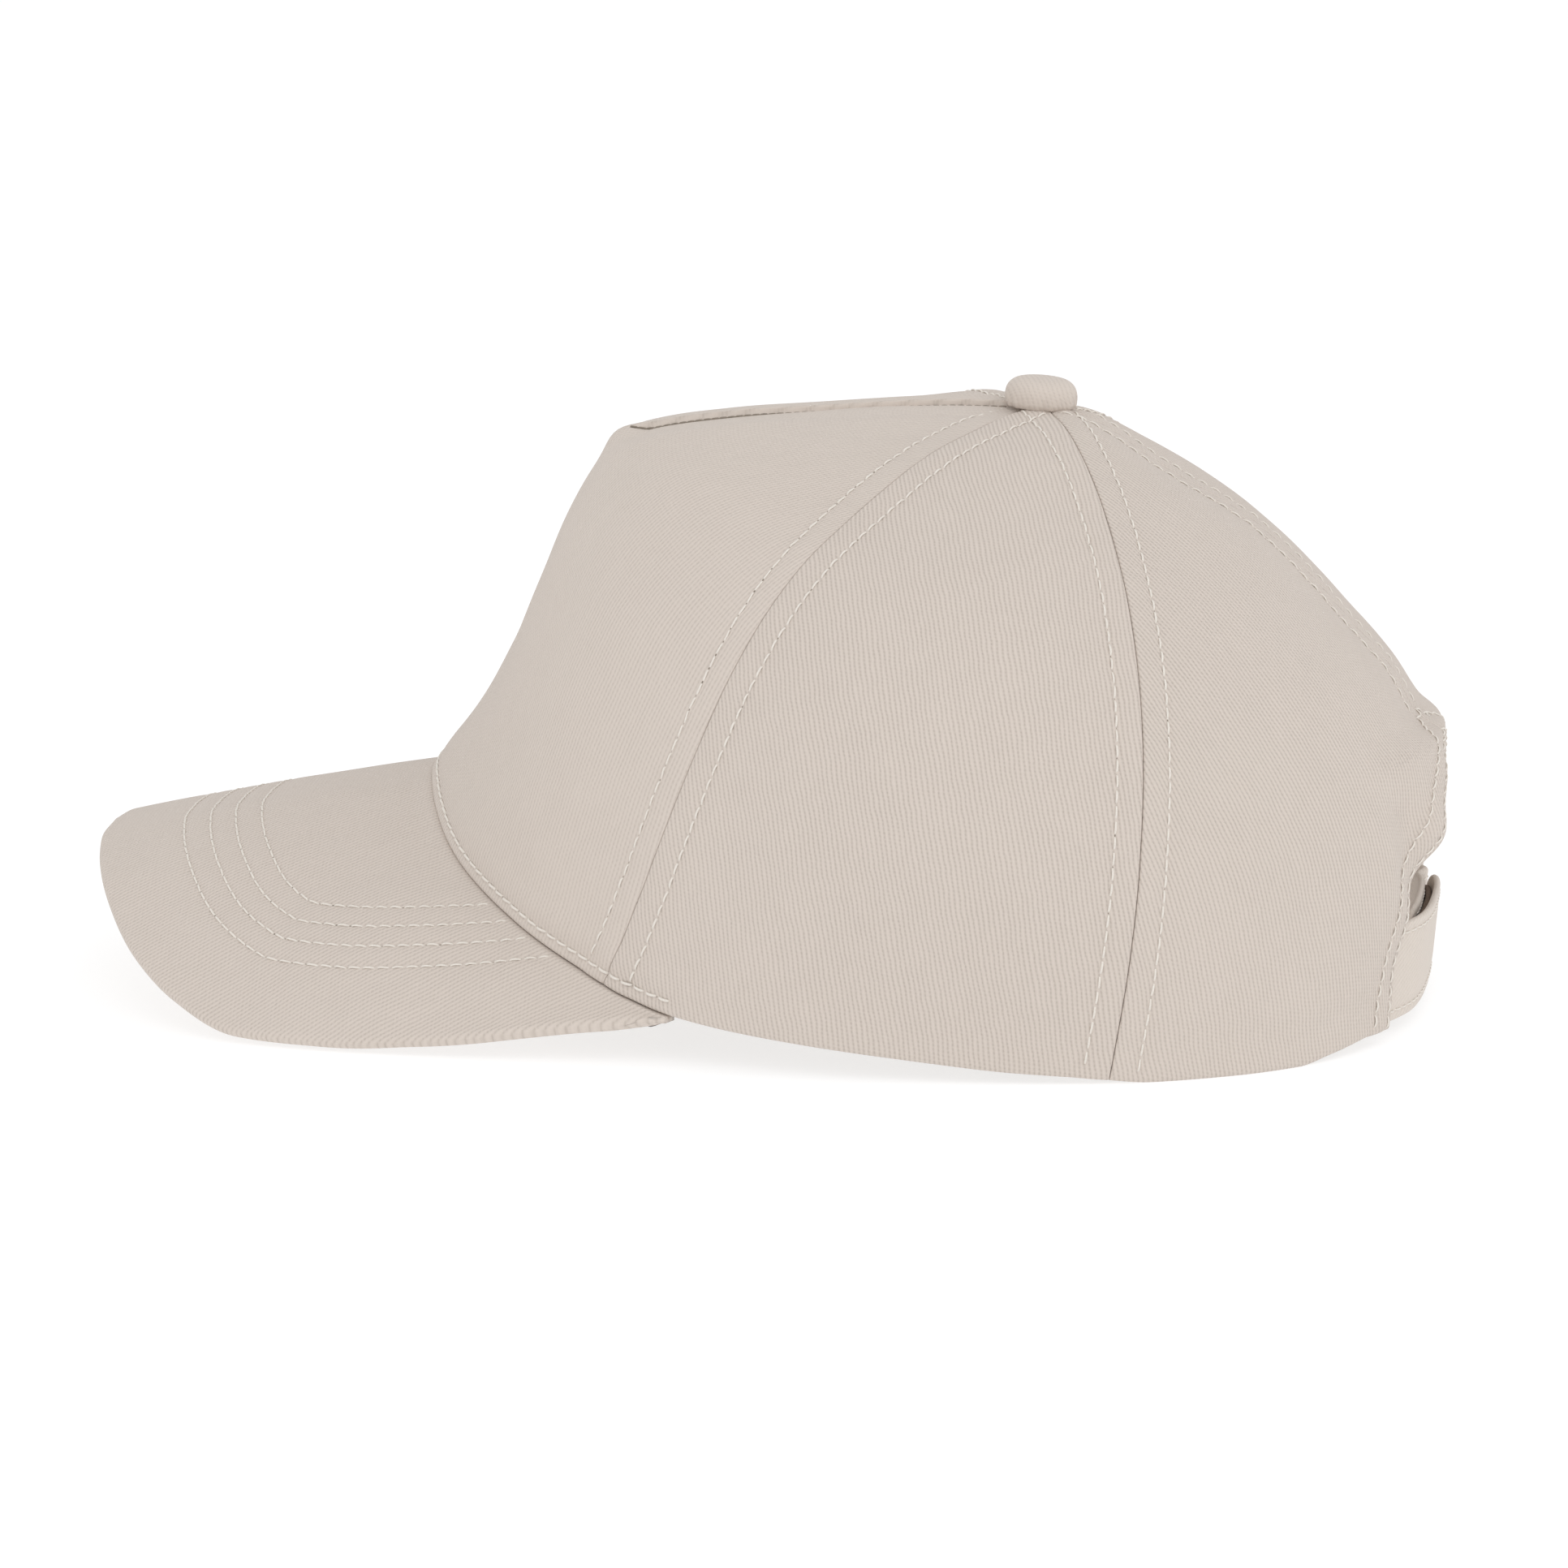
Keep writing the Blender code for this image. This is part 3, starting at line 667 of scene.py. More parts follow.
def set_uv(mesh, uv):
    layer = mesh.uv_layers.new(name="cloth")
    loops = np.empty(len(mesh.loops), dtype=np.int32)
    mesh.loops.foreach_get("vertex_index", loops)
    layer.data.foreach_set("uv", uv[loops].astype(np.float32).ravel())


def link(name, data):
    """A new object with its data, linked to the scene."""
    made = bpy.data.objects.new(name, data)
    bpy.context.scene.collection.objects.link(made)
    return made


def add_piece(name, vertices, faces, material, slot, uv=None, replaces=()):
    """A mesh object that rides on the cap. Crown coordinates become row coordinates."""
    mesh = bpy.data.meshes.new(name)
    mesh.from_pydata((vertices + np.array([CROWN_SHIFT, 0, 0])).tolist(), [], faces)
    mesh.validate()
    if uv is not None:
        set_uv(mesh, uv)
    mesh.shade_smooth()
    mesh.materials.append(material)
    piece = link(name, mesh)
    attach(piece, "root")
    if replaces:
        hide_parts(*replaces)


def shell_faces(rows, columns):
    """Faces of a closed shell: outer grid, inner grid and the four rims between them."""
    count = rows * columns
    r, c = np.meshgrid(np.arange(rows - 1), np.arange(columns - 1), indexing="ij")
    a = (r * columns + c).ravel()
    outer = np.stack([a, a + 1, a + columns + 1, a + columns], -1)
    bottom = np.arange(columns - 1)
    top = (rows - 1) * columns + bottom
    left = np.arange(rows - 1) * columns
    right = left + columns - 1
    rims = [np.stack([here, after, after + count, here + count], -1)
            for here, after in ((bottom + 1, bottom), (top, top + 1), (left, left + columns),
                              (right + columns, right))]
    return np.concatenate([outer, outer[:, ::-1] + count] + rims).tolist()


def ring_faces(rings, sides, first=0, outward_first=False):
    """Faces between rings of points that follow each other."""
    faces = []
    for i in range(rings - 1):
        for j in range(sides):
            p, q = first + i * sides + j, first + i * sides + (j + 1) % sides
            if outward_first:
                faces.append((p, p + sides, q + sides, q))
            else:
                faces.append((p, q, q + sides, p + sides))
    return faces


def add_shell(name, outer, inner, material, slot, uv, replaces=()):
    vertices = np.concatenate([outer.reshape(-1, 3), inner.reshape(-1, 3)])
    uvs = np.concatenate([uv.reshape(-1, 2), uv.reshape(-1, 2)])
    add_piece(name, vertices, shell_faces(*outer.shape[:2]), material, slot, uvs, replaces)


UP_STEPS = graded(PANEL_UP, [(0, 0.00016), (EDGE_ROW, 0.0004)], 0.00085)
BACK_UP_STEPS = graded(BACK_UP, [(0, 0.00016), (ARCH_ROWS[0], 0.0003), (ARCH_ROWS[1], 0.0003)], 0.00085)


def across_steps(length, middle=False):
    places = [(0, EDGE_STEP), (SEAM_ROW, 0.00042), (length, EDGE_STEP), (length - SEAM_ROW, 0.00042)]
    if middle:
        places.append((length / 2, 0.00025))
    return graded(length, places, 0.00105)


def front_panel_surface():
    across = (across_steps(FRONT_ACROSS, middle=True) * 2 - 1)[None, :]
    share = UP_STEPS[:, None] * top_share(FRONT_SEAM * across[0])
    seam = front_seam(share)
    return crown((seam - half_gap(seam, share)) * across, share)


def side_panel_surface(side):
    across = across_steps(SIDE_ACROSS)[None, :]
    share = UP_STEPS[:, None] * top_share(side * (FRONT_SEAM + (BACK_SEAM - FRONT_SEAM) * across[0]))
    low = front_seam(share) + half_gap(side * front_seam(share), share)
    high = back_seam(share) - half_gap(side * back_seam(share), share)
    return crown(side * (low + (high - low) * across), share)


def back_panel_points(side, across, share):
    low = back_seam(share) + half_gap(side * back_seam(share), share)
    high = 180 - half_gap(side * 179.0, share)
    return crown(side * (low + (high - low) * across), share)


def back_panel_uv(side, across, share, columns=61, rows=81, top=0.99):
    """Lengths along the cloth, from an even grid, so that the weave runs straight up to the rim."""
    even = np.meshgrid(np.linspace(0, 1, columns), np.linspace(0, top, rows))
    uv = grid_uv(back_panel_points(side, *even))
    column = np.clip(across * (columns - 1), 0, columns - 1.001)
    row = np.clip(share / top * (rows - 1), 0, rows - 1.001)
    c, r = column.astype(int), row.astype(int)
    right, up = (column - c)[..., None], (row - r)[..., None]
    return ((uv[r, c] * (1 - right) + uv[r, c + 1] * right) * (1 - up)
            + (uv[r + 1, c] * (1 - right) + uv[r + 1, c + 1] * right) * up)


def back_panel_surface(side):
    """The lower edge follows the hem to the opening's foot, then the opening's rim."""
    along = graded(BACK_RIM, [(0, 0.0004), (BACK_RIM, EDGE_STEP), (BACK_RIM - SEAM_ROW, 0.0004)], 0.0011)
    arch_direction, arch_share = arch_point(along)
    hem_steps = graded(BACK_HEM, [(0, EDGE_STEP), (SEAM_ROW, 0.0004), (BACK_HEM, 0.0004)], 0.00105)[:-1]
    hem = BACK_SEAM + (arch_direction[0] - BACK_SEAM) * hem_steps
    low_direction = np.concatenate([hem, arch_direction])
    low_share = np.concatenate([np.zeros_like(hem), arch_share])
    top_across = arc_lengths(crown(side * low_direction, low_share))
    top_across /= top_across[-1]
    low_across = (low_direction - back_seam(low_share)) / (180 - back_seam(low_share))
    rim = top_share(side * (BACK_SEAM + (180 - BACK_SEAM) * top_across))
    up = BACK_UP_STEPS[:, None]
    share = low_share + (rim - low_share) * up
    across = low_across + (top_across - low_across) * up
    return back_panel_points(side, across, share), back_panel_uv(side, across, share)


def add_panel(name, grid, side, material, uv=None):
    uv = grid_uv(grid) if uv is None else uv
    if side < 0:
        grid, uv = grid[:, ::-1], uv[:, ::-1]
    normals = grid_normals(grid)
    height = relief(grid, name)
    depth = CLOTH_THICKNESS + np.maximum(np.minimum(height, 0), -DEEPEST_ROLL)
    outer = grid + normals * height[..., None]
    inner = grid - normals * depth[..., None]
    add_shell(name + "_cloth", outer, inner, material, "twill", uv, (name,))


def painted_hole_shade_points(spot, normal, tangent, size):
    """Points of a dark oval of painted shade around a needle hole, with its middle last."""
    aside = np.cross(tangent, normal)
    rim = [spot + normal * 0.00004 + tangent * math.cos(angle) * MARK_LENGTH * size
           + aside * math.sin(angle) * MARK_WIDTH * size for angle in np.arange(6) * np.pi / 3]
    return rim + [spot + normal * 0.00007]


# Thread of one stitch: share of its length, height and thickness in radii
STITCH_RINGS = np.array([(0, -0.9, .80), (.06, .25, .95), (.25, .80, 1.05), (.5, .90, 1.08),
                         (.75, .80, 1.05), (.94, .25, .95), (1, -0.9, .80)])
THREAD_SIDES = 7
THREAD_WIDE, THREAD_FLAT = 1.12, 0.85


def thread_rows(paths, seed, radius=THREAD_RADIUS, pitch=STITCH_PITCH, space=STITCH_SPACE):
    """Vertices and faces of sewn rows, and of the dark ovals of painted shade at their needle holes. A path
    is points and normals.
    """
    dice = np.random.default_rng(seed)
    rings, sides = STITCH_RINGS, THREAD_SIDES
    vertices, faces, marks, mark_faces = [], [], [], []
    base = 0
    turn = np.linspace(0, 2 * np.pi, sides, endpoint=False)
    wide, flat = np.cos(turn)[None, :, None], np.sin(turn)[None, :, None]
    for points, normals in paths:
        arcs = arc_lengths(points)
        tangents = unit(np.gradient(points, axis=0))
        count = max(round(arcs[-1] / pitch), 1)
        pitch = arcs[-1] / count
        for k in range(count):
            start = k * pitch + space / 2 + dice.uniform(-0.07, 0.07) * space
            end = (k + 1) * pitch - space / 2 + dice.uniform(-0.07, 0.07) * space
            at = start + (end - start) * rings[:, 0]
            normal = unit(resample(normals, arcs, at))
            aside = unit(np.cross(unit(resample(tangents, arcs, at)), normal))
            drift = dice.normal(0, 0.00004) * (rings[:, 0] - 0.5) * 2
            centre = resample(points, arcs, at) + normal * (rings[:, 1] * radius)[:, None]
            centre = centre + aside * drift[:, None]
            fat = (radius * rings[:, 2] * dice.uniform(0.93, 1.07))[:, None, None]
            ring = (centre[:, None] + aside[:, None] * (wide * fat * THREAD_WIDE)
                    + normal[:, None] * (flat * fat * THREAD_FLAT))
            vertices.append(ring.reshape(-1, 3))
            faces += ring_faces(len(rings), sides, base)
            faces.append(tuple(base + j for j in range(sides))[::-1])
            faces.append(tuple(base + (len(rings) - 1) * sides + j for j in range(sides)))
            base += len(rings) * sides
            # A dark oval at each needle hole between stitches paints the shade in the hole
            if k:
                hole = np.array([k * pitch])
                spot, across, along = (resample(values, arcs, hole)[0]
                                       for values in (points, normals, tangents))
                size = dice.choice([0.35, 0.55, 0.9], p=[0.45, 0.35, 0.2])
                first = len(marks)
                marks += painted_hole_shade_points(spot, unit(across), unit(along), size)
                mark_faces += [(first + 6, first + (j + 1) % 6, first + j) for j in range(6)]
    return (np.concatenate(vertices), faces), (np.array(marks), mark_faces)


def sew(name, paths, seed, thread, mark=None, radius=THREAD_RADIUS):
    """Adds the rows' thread and, with a mark material, dark ovals of painted shade at the needle holes
    beside it.
    """
    stitches, marks = thread_rows(paths, seed, radius)
    add_piece(name + "_stitches", *stitches, thread, "thread")
    if mark:
        add_piece(name + "_needle_hole_painted_shade", *marks, mark, "twill")


def even_path(points, normals, step=PATH_STEP):
    """The path's points and normals again, at even steps."""
    arcs = arc_lengths(points)
    at = np.arange(0, arcs[-1], step)
    return resample(points, arcs, at), unit(resample(normals, arcs, at))


def row_on_panel(name, panel):
    """A row's path where it lies on the relief of a panel's cloth."""
    points, normals = even_path(ROWS[name].points, ROWS[name].normals)
    return points + normals * relief(points, panel)[:, None], normals


def peak_grid(columns, outs):
    """Top of the peak: a ruled, slightly crowned surface from the tab to the rim."""
    row = np.arange(len(PEAK_OUTLINE), dtype=float)
    signed = columns * row[-1]
    at, side = np.abs(signed), np.sign(signed)
    direction, reach, width, tip, end = (curve(row, PEAK_OUTLINE[:, c], at) for c in range(5))
    seam_end = edge_point(np.array(PEAK_END))
    half_width = -seam_end[1] + PEAK_FLARE
    tip_x = -CROWN_LENGTH / 2 - PEAK_REACH
    rim = np.stack([seam_end[0] + (tip_x - seam_end[0]) * reach, -half_width * width,
                    PEAK_TIP_HEIGHT * tip + seam_end[2] * end], -1)
    seam = edge_point(direction)
    seam[:, 2] -= 0.0003
    tab = inside(direction, np.zeros_like(direction), PEAK_TAB)
    tab[:, 2] = seam[:, 2]
    start = seam + (seam - tab) * 0.12
    grid = [tab, (tab + start) / 2]
    for out in outs:
        line = start + (rim - start) * out
        bulge = PEAK_BULGE * 4 * out * (1 - out)
        line[:, 2] += bulge * np.sin(np.pi * np.clip(at / row[-1] * 1.2, 0, 1))
        grid.append(line)
    grid = np.array(grid)
    grid[..., 1] *= np.where(side == 0, 1, side)
    return grid[:, ::-1]


def peak_row(grid, normals, from_rim, distance):
    """Points and normals of the row at a distance from the rim, from seam to seam."""
    points, directions = [], []
    for c in range(grid.shape[1]):
        gaps = from_rim[TAB_LINES:, c]
        if gaps[0] <= distance:
            continue
        below = np.nonzero(gaps >= distance)[0][-1]
        t = (gaps[below] - distance) / max(gaps[below] - gaps[below + 1], 1e-9)
        line = TAB_LINES + below
        points.append(grid[line, c] * (1 - t) + grid[line + 1, c] * t)
        directions.append(normals[line, c])
    gaps = from_rim[TAB_LINES]
    within = np.nonzero(gaps > distance)[0]
    ends = ((within[0], within[0] - 1, 0), (within[-1], within[-1] + 1, len(points) + 1))
    for c, beside, place in ends:
        t = (gaps[c] - distance) / (gaps[c] - gaps[beside])
        points.insert(place, grid[TAB_LINES, c] * (1 - t) + grid[TAB_LINES, beside] * t)
        directions.insert(place, normals[TAB_LINES, c])
    return np.array(points), np.array(directions)


def peak_relief(points, rows):
    total = sum(waves(points, *kind) for kind in PEAK_WAVES)
    for row, _ in rows:
        total += stitch_pinch(*nearest(points, row), arc_lengths(row)[-1])
    return total


def build_peak(material, thread, mark):
    half = graded(PEAK_ACROSS, [(0, 0.0008), (PEAK_ACROSS, 0.0005)], 0.0011)
    columns = np.concatenate([-half[::-1], half[1:]])
    grid = peak_grid(columns, 1 - graded(PEAK_OUT, [(0, 0.00018)], 0.00075)[::-1])
    from_end = (1 - np.abs(columns))[::-1]
    normals = grid_normals(grid)
    normals *= np.where(normals[..., 2:] < 0, -1, 1)
    for _ in range(3):
        normals[:, 1:-1] = unit(normals[:, :-2] + 2 * normals[:, 1:-1] + normals[:, 2:])
    inward = smooth(from_end / 0.10)[None, :, None]
    normals = unit(normals * inward + np.array([0, 0, 1.0]) * (1 - inward))
    from_rim, _ = nearest(grid, grid[-1], reach=0.080)
    rows = [peak_row(grid, normals, from_rim, distance) for distance in PEAK_ROWS]
    roll = edge_roll(from_rim, PEAK_ROLL, PEAK_DROP)
    height = peak_relief(grid, rows) + roll * smooth(from_end / 0.03)
    height[:TAB_LINES] = 0
    height[TAB_LINES:] *= smooth(np.arange(len(height) - TAB_LINES) / 5.0)[:, None]
    top = grid + normals * height[..., None]
    under = (PEAK_THICKNESS + roll) * (0.4 + 0.6 * smooth(from_end / 0.07))
    bottom = grid - normals * under[..., None]
    bottom[..., 2] = np.minimum(np.maximum(bottom[..., 2], 0.00012), top[..., 2] - 0.0002)
    ridge = grid[::-1, grid.shape[1] // 2]
    drop = np.abs(np.interp(grid[..., 0], ridge[:, 0], ridge[:, 2]) - grid[..., 2])
    across = np.sign(grid[..., 1]) * (0.86 * np.abs(grid[..., 1]) + 0.5 * drop)
    add_shell("peak_cloth", top, bottom, material, "twill", np.stack([grid[..., 0], across], -1), ("peak",))
    sewn = []
    for row in rows:
        points, directions = even_path(*row)
        sewn.append((points + directions * peak_relief(points, rows)[:, None], directions))
    sew("peak", sewn, 31, thread, mark)


def fill(made, values):
    """Sets inputs of a node to constant values."""
    for name, value in values.items():
        made.inputs[name].default_value = value


def maths(tree, operation, *values):
    made = tree.nodes.new("ShaderNodeMath")
    made.operation = operation
    for socket, value in zip(made.inputs, values):
        if isinstance(value, (int, float)):
            socket.default_value = value
        else:
            tree.links.new(value, socket)
    return made.outputs[0]


def noise(tree, vector, scale, detail=2.0, roughness=0.5):
    made = tree.nodes.new("ShaderNodeTexNoise")
    fill(made, {"Scale": scale, "Detail": detail, "Roughness": roughness})
    tree.links.new(vector, made.inputs["Vector"])
    return made.outputs["Fac"]


def stretched(tree, vector, scale, turn):
    made = tree.nodes.new("ShaderNodeMapping")
    fill(made, {"Scale": scale, "Rotation": (0, 0, turn)})
    tree.links.new(vector, made.inputs["Vector"])
    return made.outputs["Vector"]


def ramp(tree, value, stops):
    made = tree.nodes.new("ShaderNodeValToRGB")
    elements = made.color_ramp.elements
    elements[0].position, elements[0].color = stops[0][0], (*stops[0][1], 1)
    elements[1].position, elements[1].color = stops[-1][0], (*stops[-1][1], 1)
    for place, colour in stops[1:-1]:
        extra = elements.new(place)
        extra.color = (*colour, 1)
    tree.links.new(value, made.inputs[0])
    return made.outputs["Color"]


def new_material(name, roughness, specular):
    material = bpy.data.materials.new(name)
    material.use_nodes = True
    shader = material.node_tree.nodes["Principled BSDF"]
    fill(shader, {"Roughness": roughness, "Specular IOR Level": specular})
    return material, material.node_tree, shader


def add_bump(tree, shader, height, strength, distance):
    bump = tree.nodes.new("ShaderNodeBump")
    fill(bump, {"Strength": strength, "Distance": distance})
    tree.links.new(height, bump.inputs["Height"])
    tree.links.new(bump.outputs["Normal"], shader.inputs["Normal"])


def twill_material(name, colour, wale_angle, rib_share, spacing=WALE_SPACING, contrast=0.16):
    """Cotton twill: diagonal wales of short floats, at an angle to the cloth's width in degrees."""
    material, tree, shader = new_material(name, 0.92, 0.22)

    def do(operation, *values):
        return maths(tree, operation, *values)

    uv_map = tree.nodes.new("ShaderNodeUVMap")
    uv_map.uv_map = "cloth"
    place = uv_map.outputs["UV"]
    parts = tree.nodes.new("ShaderNodeSeparateXYZ")
    tree.links.new(place, parts.inputs[0])
    u, v = parts.outputs["X"], parts.outputs["Y"]
    angle = math.radians(wale_angle)
    cos, sin = math.cos(angle), math.sin(angle)
    wobble = do("MULTIPLY_ADD", noise(tree, place, 260.0, 2.0), 0.00052, -0.00026)
    slow = do("MULTIPLY_ADD", noise(tree, place, 38.0, 1.0), 0.0018, -0.0009)
    across = do("SUBTRACT", do("MULTIPLY", u, sin), do("MULTIPLY", v, cos))
    across = do("ADD", across, do("ADD", wobble, slow))
    along = do("ADD", do("MULTIPLY", u, cos), do("MULTIPLY", v, sin))
    wale = do("SINE", do("MULTIPLY", across, 2 * math.pi / spacing))
    shifted = do("ADD", along, do("MULTIPLY", across, 0.5))
    floats = do("SINE", do("MULTIPLY", shifted, 2 * math.pi / (spacing * 0.95)))
    rib = do("POWER", do("MULTIPLY_ADD", wale, 0.5, 0.5), 0.65)
    rib = do("MULTIPLY_ADD", rib, rib_share, (1 - rib_share) * 0.6)
    rib = do("ADD", rib, do("MULTIPLY", do("MULTIPLY", floats, 0.16), do("SUBTRACT", 1.0, rib)))
    fuzz = noise(tree, place, 2600.0, 3.0, 0.7)
    add_bump(tree, shader, do("ADD", rib, do("MULTIPLY", fuzz, 0.5)), 1.0, 0.00015)
    yarn_place = stretched(tree, place, (2400.0, 160.0, 1.0), -angle + math.pi / 2)
    tone = do("MULTIPLY", rib, 0.50)
    for grain, weight in ((noise(tree, yarn_place, 1.0, 2.0, 0.6), 0.22), (fuzz, 0.16),
                          (noise(tree, place, 120.0, 3.0, 0.6), 0.12)):
        tone = do("ADD", tone, do("MULTIPLY", grain, weight))
    tone = do("ADD", tone, do("MULTIPLY_ADD", noise(tree, place, 22.0, 2.0, 0.5), 0.10, -0.05))
    dark = tuple(c * (1 - contrast * 1.25) * warm for c, warm in zip(colour, (1, 0.985, 0.965)))
    light = tuple(c * (1 + contrast * 0.55) for c in colour)
    stops = [(0.15, dark), (0.50, colour), (0.90, light)]
    tree.links.new(ramp(tree, tone, stops), shader.inputs["Base Color"])
    fill(shader, {"Sheen Weight": 0.16, "Sheen Roughness": 0.55})
    return material


def grain_material(name, stops, roughness, specular, scale, detail, strength, depth):
    """A plain material whose colour and relief come from one fine grain."""
    material, tree, shader = new_material(name, roughness, specular)
    place = tree.nodes.new("ShaderNodeTexCoord").outputs["Object"]
    grain = noise(tree, place, scale, detail, 0.6)
    tree.links.new(ramp(tree, grain, stops), shader.inputs["Base Color"])
    add_bump(tree, shader, grain, strength, depth)
    return material


def thread_material():
    """Spun thread: faint twist, lighter than the cloth."""
    stops = [(0.25, (0.70, 0.645, 0.58)), (0.6, (0.82, 0.775, 0.715))]
    return grain_material("sewing_thread", stops, 0.6, 0.35, 5200.0, 2.0, 0.6, 0.00006)


def plain_material(name, colour, roughness, grain_scale=900.0, grain_depth=0.0001):
    dark = tuple(c * 0.8 for c in colour)
    light = tuple(min(c * 1.15, 1.0) for c in colour)
    stops = [(0.3, dark), (0.7, light)]
    return grain_material(name, stops, roughness, 0.25, grain_scale, 3.0, 0.8, grain_depth)


def strap_surface(directions, depth, low, high, heights):
    around = np.where(directions > 180, 360 - directions, directions)
    side = np.where(directions > 180, -1.0, 1.0)
    normal = outward(bare_crown, around, np.zeros_like(around))
    bow = STRAP_BOW * smooth((around - STRAP_BOW_START) / STRAP_BEND_SPAN)
    middle = edge_point(around) - normal * (depth - bow)[:, None]
    lean = STRAP_LEAN * smooth((around - STRAP_LEAN_START) / STRAP_BEND_SPAN)
    grid = []
    for share in heights:
        line = middle.copy()
        line[:, 1] *= side
        line[:, 2] = low + (high - low) * share
        line[:, 0] += lean * (2 * (line[:, 2] - STRAP_BOTTOM) / STRAP_WIDTH - 1)
        grid.append(line)
    return np.array(grid)


def half_height(directions, end):
    span = np.radians(np.abs(end - directions)) * CROWN_LENGTH / 2
    radius = STRAP_WIDTH / 2
    left = np.clip(radius - span, 0, radius * 0.94)
    return radius * (1 - (left / radius) ** STRAP_CORNER) ** (1 / STRAP_CORNER)


def strap_directions(start, end, count):
    turn = math.degrees(STRAP_WIDTH / 2 / (CROWN_LENGTH / 2)) * math.copysign(1, end - start)
    body = np.linspace(start, end - turn, count)
    ease = np.sin(np.linspace(0, np.pi / 2, STRAP_END_POINTS + 1))[1:]
    return np.concatenate([body, end - turn + turn * ease])


def between_lines(grid, position):
    """The line of a grid at a position that isn't a whole number."""
    low = int(position)
    t = position - low
    return grid[low] * (1 - t) + grid[low + 1] * t


def add_strap(name, directions, depth, end, material, thread, flip, replaces, seed):
    """A strap whose rounded end is its last direction; flip turns the far one around."""
    half = half_height(directions, end)
    middle = STRAP_BOTTOM + STRAP_WIDTH / 2
    places = [(0, 0.00016), (STRAP_ROW, 0.0003), (STRAP_WIDTH - STRAP_ROW, 0.0003), (STRAP_WIDTH, 0.00016)]
    steps = graded(STRAP_WIDTH, places, 0.0008)
    grid = strap_surface(directions, depth, middle - half, middle + half, steps)
    if flip:
        grid, half = grid[:, ::-1], half[::-1]
    normals = grid_normals(grid)
    rise = steps[:, None] * 2 * half[None, :]
    from_edge = np.minimum(rise, 2 * half[None, :] - rise)
    along = arc_lengths(grid[len(steps) // 2])
    from_end = along if flip else along[-1] - along
    roll = edge_roll(np.minimum(from_edge, from_end[None, :]), STRAP_ROLL, STRAP_DROP)
    beat = 0.62 + 0.38 * np.cos(2 * np.pi * along / STITCH_PITCH)[None, :]
    pinch = 0.00018 * beat * np.exp(-((from_edge - STRAP_ROW) / 0.0007) ** 2)
    cushion = 0.00010 * smooth((from_edge - 0.002) / 0.003)
    height = roll - pinch + cushion + waves(grid, 0.014, 0.00006, seed)
    outer = grid + normals * height[..., None]
    inner = grid - normals * (STRAP_THICKNESS + roll)[..., None]
    add_shell(name, outer, inner, material, "twill", grid_uv(grid), replaces)
    keep = slice(STRAP_END_POINTS, None) if flip else slice(0, len(directions) - STRAP_END_POINTS)
    paths = []
    for share in (STRAP_ROW / STRAP_WIDTH, 1 - STRAP_ROW / STRAP_WIDTH):
        position = np.interp(share, steps, np.arange(len(steps)))
        line, normal = between_lines(outer, position)[keep], unit(between_lines(normals, position))[keep]
        paths.append(even_path(line, normal, 0.0004))
    sew(name, paths, seed, thread, radius=THREAD_RADIUS * 0.8)


def build_strap(material, thread, closure):
    """The outer strap, the one under it and the closure patch between them."""
    outside = CLOTH_THICKNESS + STRAP_INSET
    directions = strap_directions(STRAP_TUCK, STRAP_END, 150)
    add_strap("strap_outer_cloth", directions, np.full_like(directions, outside), STRAP_END,
              material, thread, False, ("strap_left",), 41)
    directions = strap_directions(360 - STRAP_TUCK, UNDER_STRAP_END, 130)
    layers = STRAP_THICKNESS + CLOSURE_THICKNESS + 2 * STRAP_GAP
    slack = smooth((STRAP_END + 2.5 - directions) / 4.5)
    add_strap("strap_under_cloth", directions, outside + layers * slack, UNDER_STRAP_END,
              material, thread, True, ("strap_right",), 42)
    inset = math.degrees(STRAP_WIDTH / 2 / (CROWN_LENGTH / 2)) / 2
    directions = np.linspace(UNDER_STRAP_END + inset, STRAP_END - inset, 60)
    depth = np.full_like(directions, outside + STRAP_THICKNESS + STRAP_GAP)
    low = np.full_like(directions, STRAP_BOTTOM + CLOSURE_MARGIN)
    high = low + STRAP_WIDTH - 2 * CLOSURE_MARGIN
    grid = strap_surface(directions, depth, low, high, np.linspace(0, 1, 24))
    inner = grid - grid_normals(grid) * CLOSURE_THICKNESS
    add_shell("closure_pile", grid, inner, closure, "closure", grid_uv(grid), ("closure_patch",))


def build_band(material, thread):
    direction = np.linspace(-BAND_END, BAND_END, 420)
    edge = edge_height(direction)
    steps = graded(BAND_HEIGHT, [(0, 0.00025), (0.0022, 0.0004), (BAND_HEIGHT, 0.00025)], 0.0014)
    grid = []
    for up in steps:
        share = share_at_height(direction, edge + BAND_LIFT + (BAND_HEIGHT - BAND_LIFT) * up)
        grid.append(inside(direction, share, CLOTH_THICKNESS + LAYER_GAP))
    grid = np.array(grid)
    normals = grid_normals(grid)
    rise = steps * (BAND_HEIGHT - BAND_LIFT)
    roll = edge_roll(np.minimum(rise, rise[-1] - rise)[:, None], BAND_ROLL, BAND_DROP)
    outer = grid + normals * roll[..., None]
    bulge = 0.0004 * np.sin(np.pi * np.clip(steps, 0, 1))[:, None] + waves(grid, 0.020, 0.00008, 51)
    pinch = 0.00025 * np.exp(-((rise[:, None] - BAND_ROWS[0]) / 0.0008) ** 2)
    inner = grid - normals * (BAND_THICKNESS + roll + bulge * 0.5 - pinch)[..., None]
    add_shell("sweatband_cloth", outer, inner, material, "lining", grid_uv(grid), ("sweatband",))
    paths = []
    for height in BAND_ROWS:
        position = np.interp(height, rise, np.arange(len(rise)))
        paths.append((between_lines(inner, position), -normals[int(position)]))
    sew("sweatband", paths, 52, thread)


